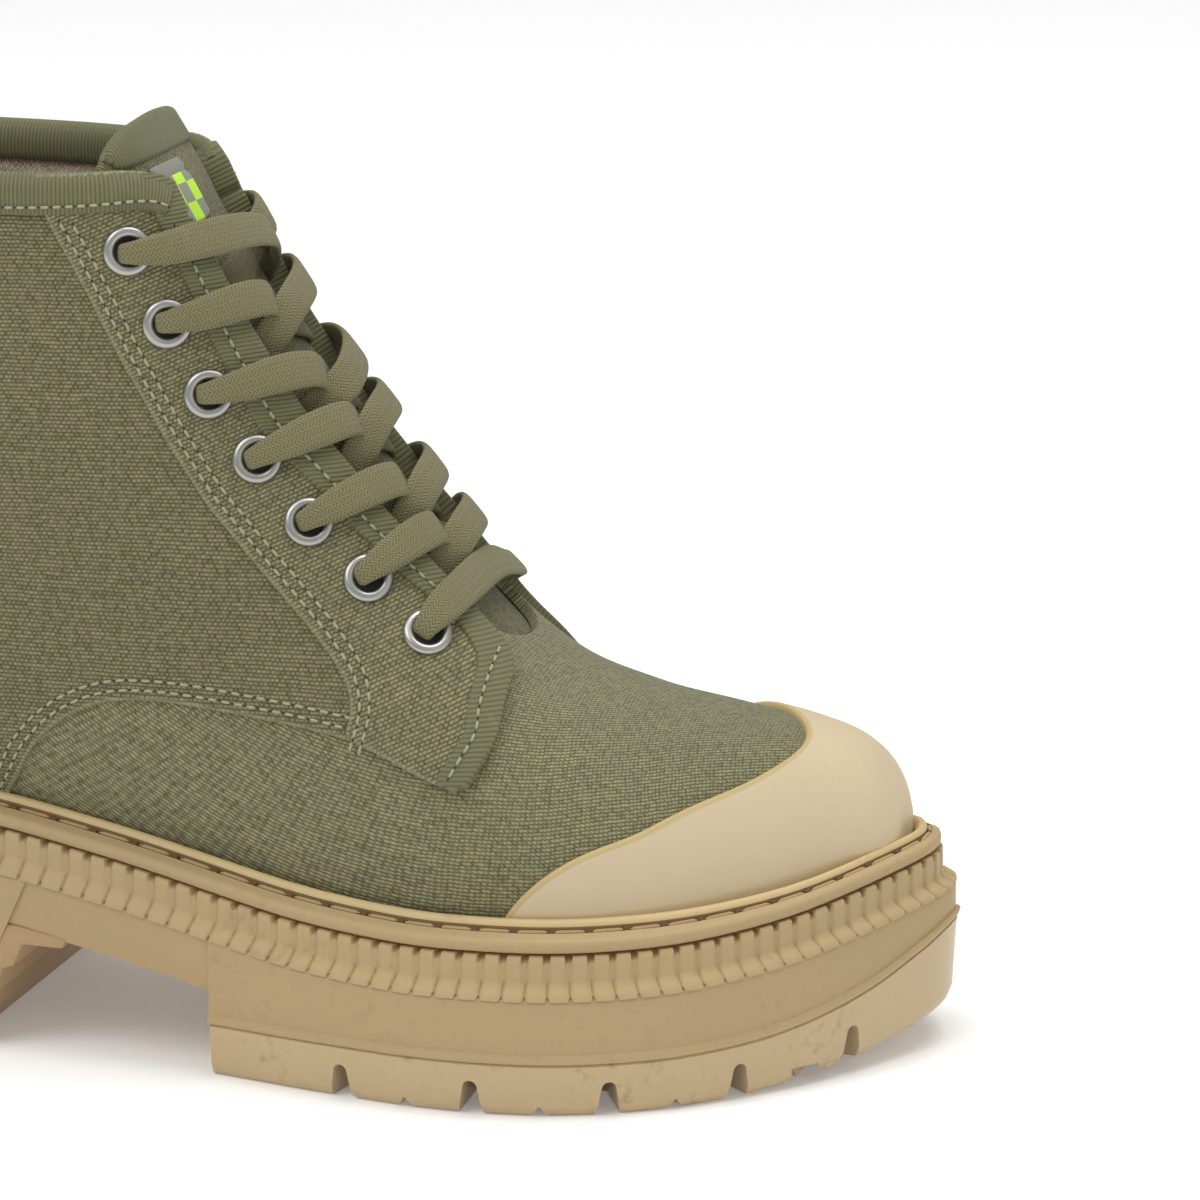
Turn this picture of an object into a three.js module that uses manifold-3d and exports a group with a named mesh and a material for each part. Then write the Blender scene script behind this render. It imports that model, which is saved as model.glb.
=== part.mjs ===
// Right canvas lace-up boot on a chunky platform sole, standing empty on its sole.
// Millimetres. +X is the toe, -Y the outer (lateral) side, +Z up, and Z = 0 the floor.
// The origin is on the floor, below the middle of the sole.
import * as THREE from "three";
import { mergeVertices } from "three/addons/utils/BufferGeometryUtils.js";
import Module from "manifold-3d";

const wasm = await Module();
wasm.setup();

// Sole sizes
const SOLE_LENGTH = 282;
const BALL_WIDTH = 107;
const OUTSOLE_DEPTH = 11;
const BLOCK_WALL = 13; // smooth midsole wall between the outsole and the ribs, at the ball
const RIB_SLOPE = 2.8; // height of the sloping step below the ribs
const RIB_HEIGHT = 5.4;
const RIB_PITCH = 4.6;
const RIB_DEPTH = 1.1;
const HEEL_LIFT = 20; // how far the footbed climbs from ball to heel
const FOOTBED_TOE_RISE = 9;
const FLANGE_TOE_RISE = 15;
const TREAD_TOE_RISE = 9;
const ARCH_SLAB = 11; // depth of the bridge between heel and forefoot, below the ribs
const FOREFOOT_BLOCK_START = 3.5;
const HEEL_BLOCK_END = -38;
const HEEL_BREAST_LEAN = 15;
const GAP = 0.3; // clearance between pieces that touch

// Steps of the sole's side, measured inwards from its outline
const PARTING_INSET = 0.5;
const WALL_INSET = 0.9;
const RIB_INSET = 3.6;
const WELT_INSET = 5;
const FEATHER_INSET = 13.6; // where the upper meets the footbed
const TOE_NARROWING = 0.24; // share by which the welt gets narrower round the toe
const WELT_HEIGHT = 3.6;
const BEAD_HEIGHT = 5.4;
const BEAD_WIDTH = 3;
const BEAD_CLEARANCE = 1.6;
const FLANGE_LIP = 1;
const RIB_WALL = 3.4;
const INSOLE_CLEARANCE = 1.6;

// Upper sizes
const COLLAR_HEIGHT = 136; // above the footbed
const ANKLE_WIDTH = 62;
const UPPER_WALL = 2.2;
const QUARTER_STEP = 0.9; // the quarters lie on the vamp by this much
const OVERLAY = 0.9; // thickness of the eyestays and of the binding
const CAP_THICKNESS = 1.3;
const BINDING_DEPTH = 7.5;
const THROAT_BINDING = 4.5;
const THROAT_WIDTH = 29;
const THROAT_END = 58; // the front end of the throat, along X
const TONGUE_WALL = 3;
const TONGUE_WIDTH = 50;
const TONGUE_DEPTH = 27; // how far its sides reach down from the instep
const TONGUE_LAP = 8; // how far it goes under the vamp
const TONGUE_RISE = 13; // above the collar
const COLLAR_ROUND = 10;
const INSOLE_DEPTH = 4;

// Lacing sizes
const EYELET_PAIRS = 7;
const EYELET_OUTER = 10;
const EYELET_BORE = 5.4;
const EYELET_HEIGHT = 1.1;
const EYELET_PITCH = 16.2;
const LACE_WIDTH = 7.2;
const LACE_THICKNESS = 1.6;
const LACE_CLEARANCE = 1.2;
const LACE_ARCH = 2.6; // the laces' height over the middle of the instep
const STRAP_STEPS = 5;

// Heights that follow from the sizes above, at the ball
const BLOCK_TOP = OUTSOLE_DEPTH + BLOCK_WALL;
const RIB_BOTTOM = BLOCK_TOP + RIB_SLOPE;
const FOOTBED = RIB_BOTTOM + RIB_HEIGHT + GAP;
const FEATHER = FOOTBED + 2.5 * GAP; // the upper's lower edge

// The sole's outline seen from above, heel first, along the lateral side to the toe and back.
// along: share of the sole's length. across: share of the ball width, minus is lateral.
const OUTLINE = [
  { along: -0.5, across: 0.0 },
  { along: -0.472, across: -0.2 },
  { along: -0.395, across: -0.335 },
  { along: -0.27, across: -0.38 },
  { along: -0.14, across: -0.388 },
  { along: -0.02, across: -0.41 },
  { along: 0.1, across: -0.476 },
  { along: 0.19, across: -0.51 },
  { along: 0.27, across: -0.487 },
  { along: 0.345, across: -0.39 },
  { along: 0.42, across: -0.2 },
  { along: 0.472, across: 0.0 },
  { along: 0.5, across: 0.17 },
  { along: 0.482, across: 0.33 },
  { along: 0.43, across: 0.425 },
  { along: 0.34, across: 0.478 },
  { along: 0.24, across: 0.49 },
  { along: 0.13, across: 0.462 },
  { along: 0.0, across: 0.4 },
  { along: -0.14, across: 0.372 },
  { along: -0.27, across: 0.374 },
  { along: -0.395, across: 0.335 },
  { along: -0.472, across: 0.2 },
];

// Rises along the sole. heel: share of HEEL_LIFT, toe: share of the footbed's rise at the
// toe, tip: share of the flange's and the tread's rise at the toe.
const RISE = [
  { along: -0.5, heel: 1.0, toe: 0, tip: 0 },
  { along: -0.36, heel: 0.96, toe: 0, tip: 0 },
  { along: -0.25, heel: 0.86, toe: 0, tip: 0 },
  { along: -0.155, heel: 0.68, toe: 0, tip: 0 },
  { along: -0.075, heel: 0.47, toe: 0, tip: 0 },
  { along: 0.01, heel: 0.23, toe: 0, tip: 0 },
  { along: 0.075, heel: 0.09, toe: 0, tip: 0 },
  { along: 0.15, heel: 0.01, toe: 0, tip: 0 },
  { along: 0.23, heel: 0, toe: 0, tip: 0 },
  { along: 0.31, heel: 0, toe: 0.01, tip: 0 },
  { along: 0.36, heel: 0, toe: 0.07, tip: 0.02 },
  { along: 0.41, heel: 0, toe: 0.25, tip: 0.12 },
  { along: 0.455, heel: 0, toe: 0.58, tip: 0.4 },
  { along: 0.485, heel: 0, toe: 0.84, tip: 0.76 },
  { along: 0.5, heel: 0, toe: 1.0, tip: 1.0 },
];

// The heel's back line. at: -1 above the collar, 0 at the footbed. back: share of the foot's
// length behind the feather line, minus is further forward. up: share of the collar height.
const BACK_LINE = [
  { at: -1.0, back: -0.037, up: 1.12 },
  { at: -0.88, back: -0.041, up: 0.985 },
  { at: -0.7, back: -0.045, up: 0.79 },
  { at: -0.5, back: -0.038, up: 0.57 },
  { at: -0.3, back: -0.015, up: 0.35 },
  { at: -0.13, back: 0.009, up: 0.155 },
  { at: 0.0, back: 0.0, up: 0.0 },
];

// Sections of the last. at: place on the back line, then share of the feather line from heel
// to toe. instep and up: the section's middle, as shares of the foot's length and the collar
// height. wide: half width as a share of the ankle width. belly: how far down it is widest.
// full and round: how square the section is above and below its widest place.
const SECTIONS = [
  { at: -1.0, instep: 0.398, up: 1.120, wide: 0.5, belly: 0.56, full: 3.0, round: 2.2 },
  { at: -0.88, instep: 0.445, up: 1.000, wide: 0.5, belly: 0.57, full: 3.0, round: 2.2 },
  { at: -0.7, instep: 0.468, up: 0.935, wide: 0.5, belly: 0.6, full: 2.95, round: 2.2 },
  { at: -0.5, instep: 0.496, up: 0.868, wide: 0.5, belly: 0.65, full: 2.9, round: 2.2 },
  { at: -0.3, instep: 0.522, up: 0.806, wide: 0.51, belly: 0.71, full: 2.85, round: 2.25 },
  { at: -0.13, instep: 0.547, up: 0.753, wide: 0.525, belly: 0.76, full: 2.8, round: 2.3 },
  { at: 0.0, instep: 0.564, up: 0.716, wide: 0.535, belly: 0.79, full: 2.75, round: 2.3 },
  { at: 0.08, instep: 0.577, up: 0.688, wide: 0.54, belly: 0.78, full: 2.7, round: 2.1 },
  { at: 0.2, instep: 0.597, up: 0.643, wide: 0.545, belly: 0.74, full: 2.6, round: 1.55 },
  { at: 0.32, instep: 0.622, up: 0.583, wide: 0.545, belly: 0.71, full: 2.5, round: 1.3 },
  { at: 0.44, instep: 0.650, up: 0.524, wide: 0.55, belly: 0.7, full: 2.45, round: 1.3 },
  { at: 0.54, instep: 0.680, up: 0.458, wide: 0.56, belly: 0.72, full: 2.4, round: 1.4 },
  { at: 0.63, instep: 0.715, up: 0.388, wide: 0.53, belly: 0.75, full: 2.3, round: 1.6 },
  { at: 0.7, instep: 0.755, up: 0.331, wide: 0.5, belly: 0.77, full: 2.15, round: 1.8 },
  { at: 0.77, instep: 0.805, up: 0.293, wide: 0.44, belly: 0.77, full: 2.15, round: 2.0 },
  { at: 0.84, instep: 0.872, up: 0.256, wide: 0.38, belly: 0.75, full: 2.2, round: 2.0 },
  { at: 0.9, instep: 0.925, up: 0.222, wide: 0.31, belly: 0.72, full: 2.25, round: 2.0 },
  { at: 0.95, instep: 0.966, up: 0.176, wide: 0.22, belly: 0.68, full: 2.25, round: 2.0 },
  { at: 0.98, instep: 0.990, up: 0.110, wide: 0.12, belly: 0.62, full: 2.2, round: 2.0 },
  { at: 1.0, instep: 1.000, up: 0.000, wide: 0.0, belly: 0.6, full: 2.1, round: 2.0 },
];
const FEATHER_TUCK = 1.02; // the upper is this much wider than its feather line
const COLLAR_AT = -0.88; // the section at the collar
const SHAFT_ROWS = 4;
const FOOT_ROWS = 15;
const SIDE_COLUMNS = 7;
const RING_POINTS = 48;

// Interpolates a column of a table smoothly: a cubic through the rows.
function through(rows, key, column) {
  const slope = rows.map((row, i) => {
    const a = rows[Math.max(i - 1, 0)];
    const b = rows[Math.min(i + 1, rows.length - 1)];
    return (b[column] - a[column]) / (b[key] - a[key]);
  });
  return (where) => {
    const at = THREE.MathUtils.clamp(where, rows[0][key], rows.at(-1)[key]);
    let i = 0;
    while (i < rows.length - 2 && rows[i + 1][key] < at) i++;
    const step = rows[i + 1][key] - rows[i][key];
    const t = (at - rows[i][key]) / step;
    const rise = rows[i + 1][column] - rows[i][column];
    const ease = t * t * (3 - 2 * t);
    const out = t * (1 - t) * (1 - t) * slope[i] * step;
    const into = t * t * (t - 1) * slope[i + 1] * step;
    return rows[i][column] + rise * ease + out + into;
  };
}

const heelShare = through(RISE, "along", "heel");
const toeShare = through(RISE, "along", "toe");
const tipShare = through(RISE, "along", "tip");
const heelRise = (x) => HEEL_LIFT * heelShare(x / SOLE_LENGTH);
const footbedRise = (x) => heelRise(x) + FOOTBED_TOE_RISE * toeShare(x / SOLE_LENGTH);
const flangeRise = (x) => FLANGE_TOE_RISE * tipShare(x / SOLE_LENGTH);
const treadRise = (x) => Math.max(0, TREAD_TOE_RISE * tipShare(x / SOLE_LENGTH));

// The sole's outline, and the same line moved inwards
const outlineCurve = new THREE.CatmullRomCurve3(
  OUTLINE.map((p) => new THREE.Vector3(p.along * SOLE_LENGTH, p.across * BALL_WIDTH, 0)),
  true,
);
outlineCurve.arcLengthDivisions = 600;

function outlinePoint(share, inset) {
  const p = outlineCurve.getPointAt(share);
  const t = outlineCurve.getTangentAt(share);
  const toe = THREE.MathUtils.smoothstep(p.x / SOLE_LENGTH, 0.34, 0.48);
  const ledge = Math.max(inset - WELT_INSET, 0) * TOE_NARROWING * toe;
  return new THREE.Vector2(p.x - t.y * (inset - ledge), p.y + t.x * (inset - ledge));
}
const outlineRing = (count, inset) =>
  Array.from({ length: count }, (_, i) => outlinePoint(i / count, inset));
const levelRing = (inset, height, count = RING_POINTS) =>
  outlineRing(count, inset).map((p) => new THREE.Vector3(p.x, p.y, height(p.x)));

// The feather line, where the upper meets the footbed: share 0 at the heel, 1 at the toe
const FEATHER_STEPS = 720;
const featherRing = outlineRing(FEATHER_STEPS, FEATHER_INSET);
const toeIndex = featherRing.reduce((best, p, i) => (p.x > featherRing[best].x ? i : best), 0);
const HEEL_X = featherRing[0].x;
const FOOT_LENGTH = featherRing[toeIndex].x - HEEL_X;
function featherPoint(share, side) {
  const toe = side < 0 ? toeIndex : toeIndex - FEATHER_STEPS;
  const place = ((share * toe) % FEATHER_STEPS + FEATHER_STEPS) % FEATHER_STEPS;
  const whole = Math.floor(place);
  const a = featherRing[whole % FEATHER_STEPS];
  const b = featherRing[(whole + 1) % FEATHER_STEPS];
  const p = a.clone().lerp(b, place - whole);
  return new THREE.Vector3(p.x, p.y, FEATHER + footbedRise(p.x));
}

// The last's surface. Shaft sections are closed loops that meet on the back line, and foot
// sections end on the feather line on each side.
const column = (rows, name) => through(rows, "at", name);
const backAt = column(BACK_LINE, "back");
const backUpAt = column(BACK_LINE, "up");
const instepAt = column(SECTIONS, "instep");
const upAt = column(SECTIONS, "up");
const wideAt = column(SECTIONS, "wide");
const bellyAt = column(SECTIONS, "belly");
const fullAt = column(SECTIONS, "full");
const roundAt = column(SECTIONS, "round");
const COLLAR_TOP = FEATHER + COLLAR_HEIGHT + heelRise(HEEL_X + instepAt(COLLAR_AT) * FOOT_LENGTH);

function instepPoint(at) {
  const x = HEEL_X + instepAt(at) * FOOT_LENGTH;
  const toward = THREE.MathUtils.smoothstep(at, 0.6, 1);
  const z = FEATHER + footbedRise(x) + upAt(at) * COLLAR_HEIGHT;
  return new THREE.Vector3(x, featherRing[toeIndex].y * toward, z);
}

function endPoint(at, side) {
  if (at > 0) return featherPoint(at, side);
  const heel = featherPoint(0, side);
  heel.x -= backAt(at) * FOOT_LENGTH;
  heel.z += backUpAt(at) * (COLLAR_TOP - heel.z);
  return heel;
}

// Half a section, from its middle to its end: count steps of equal length.
const FINE_STEPS = 24;
function halfSection(at, side, count) {
  const middle = instepPoint(at);
  const end = endPoint(at, side);
  const foot = Math.abs(end.y - middle.y);
  const half = ((wideAt(at) * ANKLE_WIDTH) ** 12 + (foot * FEATHER_TUCK) ** 12) ** (1 / 12);
  const belly = bellyAt(at);
  const upright = THREE.MathUtils.smoothstep(at, 0.3, 0.7);
  const fine = [];
  for (let i = 0; i <= 2 * FINE_STEPS; i++) {
    const angle = (i * Math.PI) / 2 / FINE_STEPS;
    const above = i <= FINE_STEPS;
    const power = 2 / (above ? fullAt(at) : roundAt(at));
    const cos = Math.abs(Math.cos(angle)) ** power;
    const sin = Math.abs(Math.sin(angle)) ** power;
    const down = above ? belly * (1 - cos) : belly + (1 - belly) * cos;
    const p = middle.clone().lerp(end, down);
    p.x += (end.x - middle.x) * upright * down * (1 - down);
    p.y = middle.y + side * (above ? half * sin : foot + (half - foot) * sin);
    fine.push(p);
  }
  fine[0].copy(middle);
  fine[2 * FINE_STEPS].copy(end);
  const run = [0];
  for (let i = 1; i < fine.length; i++) run.push(run[i - 1] + fine[i].distanceTo(fine[i - 1]));
  return Array.from({ length: count + 1 }, (_, i) => {
    const want = (run.at(-1) * i) / count;
    let k = 1;
    while (k < fine.length - 1 && run[k] < want) k++;
    const step = run[k] - run[k - 1];
    return fine[k - 1].clone().lerp(fine[k], step > 0 ? (want - run[k - 1]) / step : 0);
  });
}

function sectionRow(at, columns) {
  const lateral = halfSection(at, -1, columns).reverse();
  return [...lateral, ...halfSection(at, 1, columns).slice(1)];
}

function surfaceGrid(shaftRows, footRows, columns) {
  const rows = [];
  for (let i = 0; i < shaftRows; i++) rows.push(sectionRow(-1 + i / shaftRows, columns));
  for (let i = 0; i <= footRows; i++) {
    const t = i / footRows;
    rows.push(sectionRow(t - (0.42 * Math.sin(2 * Math.PI * t)) / (2 * Math.PI), columns));
  }
  return rows;
}

// Outward unit normals of a grid of points. Both ends of a closed row share one normal.
function gridNormals(rows, closedRows) {
  const last = rows[0].length - 1;
  return rows.map((row, i) =>
    row.map((_, j) => {
      const closed = i <= closedRows;
      const before = j > 0 ? j - 1 : closed ? last - 1 : 0;
      const after = j < last ? j + 1 : closed ? 1 : last;
      const above = rows[Math.max(i - 1, 0)][j];
      const seam = i === closedRows && (j === 0 || j === last);
      const below = rows[Math.min(seam ? i : i + 1, rows.length - 1)][j];
      const across = row[after].clone().sub(row[before]);
      const down = below.clone().sub(above);
      const normal = down.cross(across);
      if (i === rows.length - 1) normal.set(1, 0, 0);
      if (closed && (j === 0 || j === last)) normal.y = 0;
      return normal.normalize();
    }),
  );
}

// Geometry helpers
function geometryOf(points, faces) {
  const geometry = new THREE.BufferGeometry();
  const flat = points.flatMap((p) => [p.x, p.y, p.z]);
  geometry.setAttribute("position", new THREE.Float32BufferAttribute(flat, 3));
  geometry.setIndex(faces);
  return geometry;
}

function solidOf(geometry) {
  const bare = geometry.clone();
  bare.deleteAttribute("normal");
  bare.deleteAttribute("uv");
  const merged = mergeVertices(bare, 1e-4);
  const index = merged.index.array;
  const kept = [];
  for (let i = 0; i < index.length; i += 3) {
    const [a, b, c] = [index[i], index[i + 1], index[i + 2]];
    if (a !== b && b !== c && a !== c) kept.push(a, b, c);
  }
  const mesh = new wasm.Mesh({
    numProp: 3,
    vertProperties: new Float32Array(merged.attributes.position.array),
    triVerts: new Uint32Array(kept),
  });
  return new wasm.Manifold(mesh);
}

function geometryFrom(solid) {
  const mesh = solid.getMesh();
  const geometry = new THREE.BufferGeometry();
  geometry.setAttribute("position", new THREE.BufferAttribute(mesh.vertProperties, 3));
  geometry.setIndex(new THREE.BufferAttribute(mesh.triVerts, 1));
  return geometry;
}

// The largest body of a solid, where a cut leaves crumbs.
function largest(solid) {
  return solid.decompose().reduce((a, b) => (b.volume() > a.volume() ? b : a));
}

const boot = new THREE.Group();
boot.name = "canvas_boot";
const MATERIALS = {
  canvas: new THREE.MeshStandardMaterial({ color: 0x716d4e, roughness: 0.95 }),
  canvasTape: new THREE.MeshStandardMaterial({ color: 0x64643f, roughness: 0.95 }),
  capRubber: new THREE.MeshStandardMaterial({ color: 0xd6c6a4, roughness: 0.6 }),
  midsoleFoam: new THREE.MeshStandardMaterial({ color: 0xc4ad80, roughness: 0.7 }),
  gumRubber: new THREE.MeshStandardMaterial({ color: 0xa58c69, roughness: 0.4 }),
  lining: new THREE.MeshStandardMaterial({ color: 0xc3af9f, roughness: 0.95 }),
  lace: new THREE.MeshStandardMaterial({ color: 0x787050, roughness: 0.95 }),
  metal: new THREE.MeshStandardMaterial({ color: 0xc9c8c6, roughness: 0.3, metalness: 1 }),
};
function add(name, shape, material) {
  const mesh = new THREE.Mesh(shape.isBufferGeometry ? shape : geometryFrom(shape), material);
  mesh.name = name;
  boot.add(mesh);
}

// A solid between stacked rings of one count, bottom first. Its end faces run straight across.
function stackedRings(rings) {
  const count = rings[0].length;
  const faces = [];
  for (let level = 0; level + 1 < rings.length; level++) {
    for (let i = 0; i < count; i++) {
      const a = level * count + i;
      const b = level * count + ((i + 1) % count);
      faces.push(a, b, a + count, b, b + count, a + count);
    }
  }
  const top = (rings.length - 1) * count;
  for (let i = 0; i < count / 2; i++) {
    const [a, b] = [i, i + 1];
    const [c, d] = [(count - i) % count, count - i - 1];
    faces.push(a, c, b, b, c, d);
    faces.push(top + a, top + b, top + c, top + b, top + d, top + c);
  }
  return solidOf(geometryOf(rings.flat(), faces));
}

// A ring-shaped solid: the section's corners, clockwise with inset to the right and up
// upwards, carried round the outline.
function bandAround(section, count, heightAt) {
  const rails = section.map(({ inset, up }) => levelRing(inset, (x) => heightAt(x) + up, count));
  const faces = [];
  for (let rail = 0; rail < rails.length; rail++) {
    const next = (rail + 1) % rails.length;
    for (let i = 0; i < count; i++) {
      const j = (i + 1) % count;
      const [a, b] = [rail * count + i, rail * count + j];
      const [c, d] = [next * count + i, next * count + j];
      faces.push(a, b, c, b, d, c);
    }
  }
  return solidOf(geometryOf(rails.flat(), faces));
}

// Prisms from closed outlines: a sidePrism is drawn in (x, z) and runs across the boot, a
// planPrism is drawn in (x, y) and runs upwards.
const REACH = 400;
function sidePrism(points, from = -REACH, to = REACH) {
  const shape = new THREE.Shape(points.map(([x, z]) => new THREE.Vector2(x, z)));
  const geometry = new THREE.ExtrudeGeometry(shape, { depth: to - from, bevelEnabled: false });
  geometry.rotateX(Math.PI / 2);
  geometry.translate(0, to, 0);
  return solidOf(geometry);
}
function planPrism(points, from, to) {
  const shape = new THREE.Shape(points.map(([x, y]) => new THREE.Vector2(x, y)));
  const geometry = new THREE.ExtrudeGeometry(shape, { depth: to - from, bevelEnabled: false });
  geometry.translate(0, 0, from);
  return solidOf(geometry);
}

// Everything ahead of a plane across the boot
const aheadOf = (x) =>
  sidePrism([
    [x, -REACH],
    [REACH, -REACH],
    [REACH, REACH],
    [x, REACH],
  ]);

// Everything behind the stepped heel breast
function heelSide() {
  const foot = HEEL_BLOCK_END - HEEL_BREAST_LEAN;
  return sidePrism([
    [-REACH, -REACH],
    [foot, -REACH],
    [foot, 0],
    [foot + HEEL_BREAST_LEAN / 4, OUTSOLE_DEPTH],
    [HEEL_BLOCK_END, BLOCK_TOP + HEEL_LIFT / 2],
    [HEEL_BLOCK_END, REACH],
    [-REACH, REACH],
  ]);
}

// Midsole: a bridge over the whole length, with a forefoot block and a heel block below it
function buildMidsole() {
  const flange = (x) => OUTSOLE_DEPTH + GAP + flangeRise(x);
  const arch = (x) => BLOCK_TOP - ARCH_SLAB + footbedRise(x);
  const slab = stackedRings([
    levelRing(WALL_INSET + 1.4, (x) => Math.max(arch(x), flange(x) + FLANGE_LIP)),
    levelRing(WALL_INSET + 0.6, (x) => BLOCK_TOP + footbedRise(x)),
    levelRing(RIB_INSET + RIB_DEPTH, (x) => RIB_BOTTOM + footbedRise(x) - GAP),
    levelRing(RIB_INSET + RIB_WALL + GAP, (x) => RIB_BOTTOM + footbedRise(x) - GAP),
    levelRing(RIB_INSET + RIB_WALL + GAP, (x) => FOOTBED + footbedRise(x)),
  ]);
  const block = stackedRings([
    levelRing(PARTING_INSET, flange),
    levelRing(0, (x) => flange(x) + FLANGE_LIP),
    levelRing(WALL_INSET, (x) => flange(x) + 2 * FLANGE_LIP),
    levelRing(WALL_INSET, (x) => BLOCK_TOP + footbedRise(x)),
    levelRing(RIB_INSET + RIB_DEPTH, (x) => RIB_BOTTOM + footbedRise(x) - GAP),
  ]);
  const forefoot = block.intersect(aheadOf(FOREFOOT_BLOCK_START));
  return slab.add(forefoot).add(block.intersect(heelSide()));
}

// Outsole: lugs of gum rubber, notched round the edge and grooved across
const LUG_PITCH = 28;
const NOTCH = { mouth: 3.6, slot: 3, depth: 7.6, reach: 17 };
const NICK = { mouth: 2, slot: 0.8, depth: 2.4, reach: 8 };
const GROOVE = { mouth: 5, slot: 4, depth: 4.5 };
const FRONT_TREAD = { first: 195, notches: 5, grooves: 5, from: 22, step: 25, spread: 26 };
const HEEL_TREAD = { first: 34, notches: 3, grooves: 3, from: -114, step: 24, spread: 21 };

function outsoleForm() {
  return stackedRings([
    levelRing(3.4, (x) => treadRise(x)),
    levelRing(1.4, (x) => 2.6 + treadRise(x)),
    levelRing(PARTING_INSET, (x) => OUTSOLE_DEPTH + flangeRise(x)),
  ]);
}

// A groove from start to end in plan, cut upwards into the tread
function groove(start, end, { mouth, slot, depth }) {
  const middle = start.clone().add(end).multiplyScalar(0.5);
  const run = end.clone().sub(start);
  const corners = [
    [-mouth, -depth],
    [mouth, -depth],
    [slot / 2, depth],
    [-slot / 2, depth],
  ];
  const prism = sidePrism(corners, -run.length() / 2, run.length() / 2);
  const turn = (Math.atan2(run.y, run.x) * 180) / Math.PI - 90;
  return prism.rotate([0, 0, turn]).translate([middle.x, middle.y, treadRise(middle.x)]);
}

function cutTread(form, tread) {
  const around = outlineCurve.getLength();
  let cut = form;
  for (const side of [-1, 1]) {
    for (let i = 0; i < 2 * tread.notches - 1; i++) {
      const along = (tread.first + (i * LUG_PITCH) / 2) / around;
      const kind = i % 2 === 0 ? NOTCH : NICK;
      const share = side < 0 ? along : 1 - along;
      const edge = outlinePoint(share, -3);
      const end = outlinePoint(share, kind.reach);
      cut = cut.subtract(groove(edge, end, kind));
    }
    for (let i = 0; i < tread.grooves; i++) {
      const x = tread.from + i * tread.step;
      const bend = new THREE.Vector2(x, -side);
      const end = new THREE.Vector2(x - 9, side * tread.spread);
      cut = cut.subtract(groove(bend, end, GROOVE));
    }
  }
  return largest(cut);
}

// Ribbed band round the sole: a toothed ring on the facets that the midsole has
function buildRibbedBand() {
  const ribs = Math.round(outlineCurve.getLength() / RIB_PITCH);
  const seat = (x) => RIB_BOTTOM + footbedRise(x);
  const crest = levelRing(RIB_INSET, seat);
  const valley = levelRing(RIB_INSET + RIB_DEPTH, seat);
  const teeth = Array.from({ length: 2 * ribs }, (_, i) => {
    const place = (i * RING_POINTS) / (2 * ribs);
    const facet = Math.floor(place);
    const ring = i % 2 === 0 ? crest : valley;
    return ring[facet].clone().lerp(ring[(facet + 1) % RING_POINTS], place - facet);
  });
  const inner = levelRing(RIB_INSET + RIB_WALL, seat);
  const caps = [];
  for (let i = 0, j = 0; i < teeth.length || j < RING_POINTS; ) {
    const [tooth, corner] = [i % teeth.length, teeth.length + (j % RING_POINTS)];
    if ((i + 1) / teeth.length <= (j + 1) / RING_POINTS) {
      i++;
      caps.push([tooth, i % teeth.length, corner]);
    } else {
      j++;
      caps.push([tooth, teeth.length + (j % RING_POINTS), corner]);
    }
  }
  const lower = [...teeth, ...inner];
  const upper = lower.map((p) => p.clone().setZ(p.z + RIB_HEIGHT - GAP));
  const size = lower.length;
  const faces = caps.flatMap(([a, b, c]) => [a, c, b, size + a, size + b, size + c]);
  const side = (from, count, inward) => {
    for (let i = 0; i < count; i++) {
      const [a, b] = [from + i, from + ((i + 1) % count)];
      if (inward) faces.push(b, a, size + a, b, size + a, size + b);
      else faces.push(a, b, size + b, a, size + b, size + a);
    }
  };
  side(0, teeth.length, false);
  side(teeth.length, inner.length, true);
  return solidOf(geometryOf([...lower, ...upper], faces));
}

// Welt: a ledge with a bead along the upper
function buildWelt() {
  const inner = FEATHER_INSET - BEAD_CLEARANCE;
  const bead = inner - BEAD_WIDTH;
  const section = [
    { inset: WELT_INSET, up: GAP },
    { inset: WELT_INSET, up: WELT_HEIGHT },
    { inset: bead, up: WELT_HEIGHT },
    { inset: bead + 1.2, up: BEAD_HEIGHT },
    { inset: inner, up: BEAD_HEIGHT - 0.8 },
    { inset: inner, up: GAP },
  ];
  return bandAround(section, RING_POINTS, (x) => FOOTBED + footbedRise(x));
}

// Insole: a plate inside the upper
function buildInsole() {
  const inset = FEATHER_INSET + UPPER_WALL + INSOLE_CLEARANCE;
  return stackedRings([
    levelRing(inset, (x) => FEATHER + footbedRise(x), 40),
    levelRing(inset, (x) => FEATHER + INSOLE_DEPTH + footbedRise(x), 40),
  ]);
}

const lastRows = surfaceGrid(SHAFT_ROWS, FOOT_ROWS, SIDE_COLUMNS);
const lastNormals = gridNormals(lastRows, SHAFT_ROWS);

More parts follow.
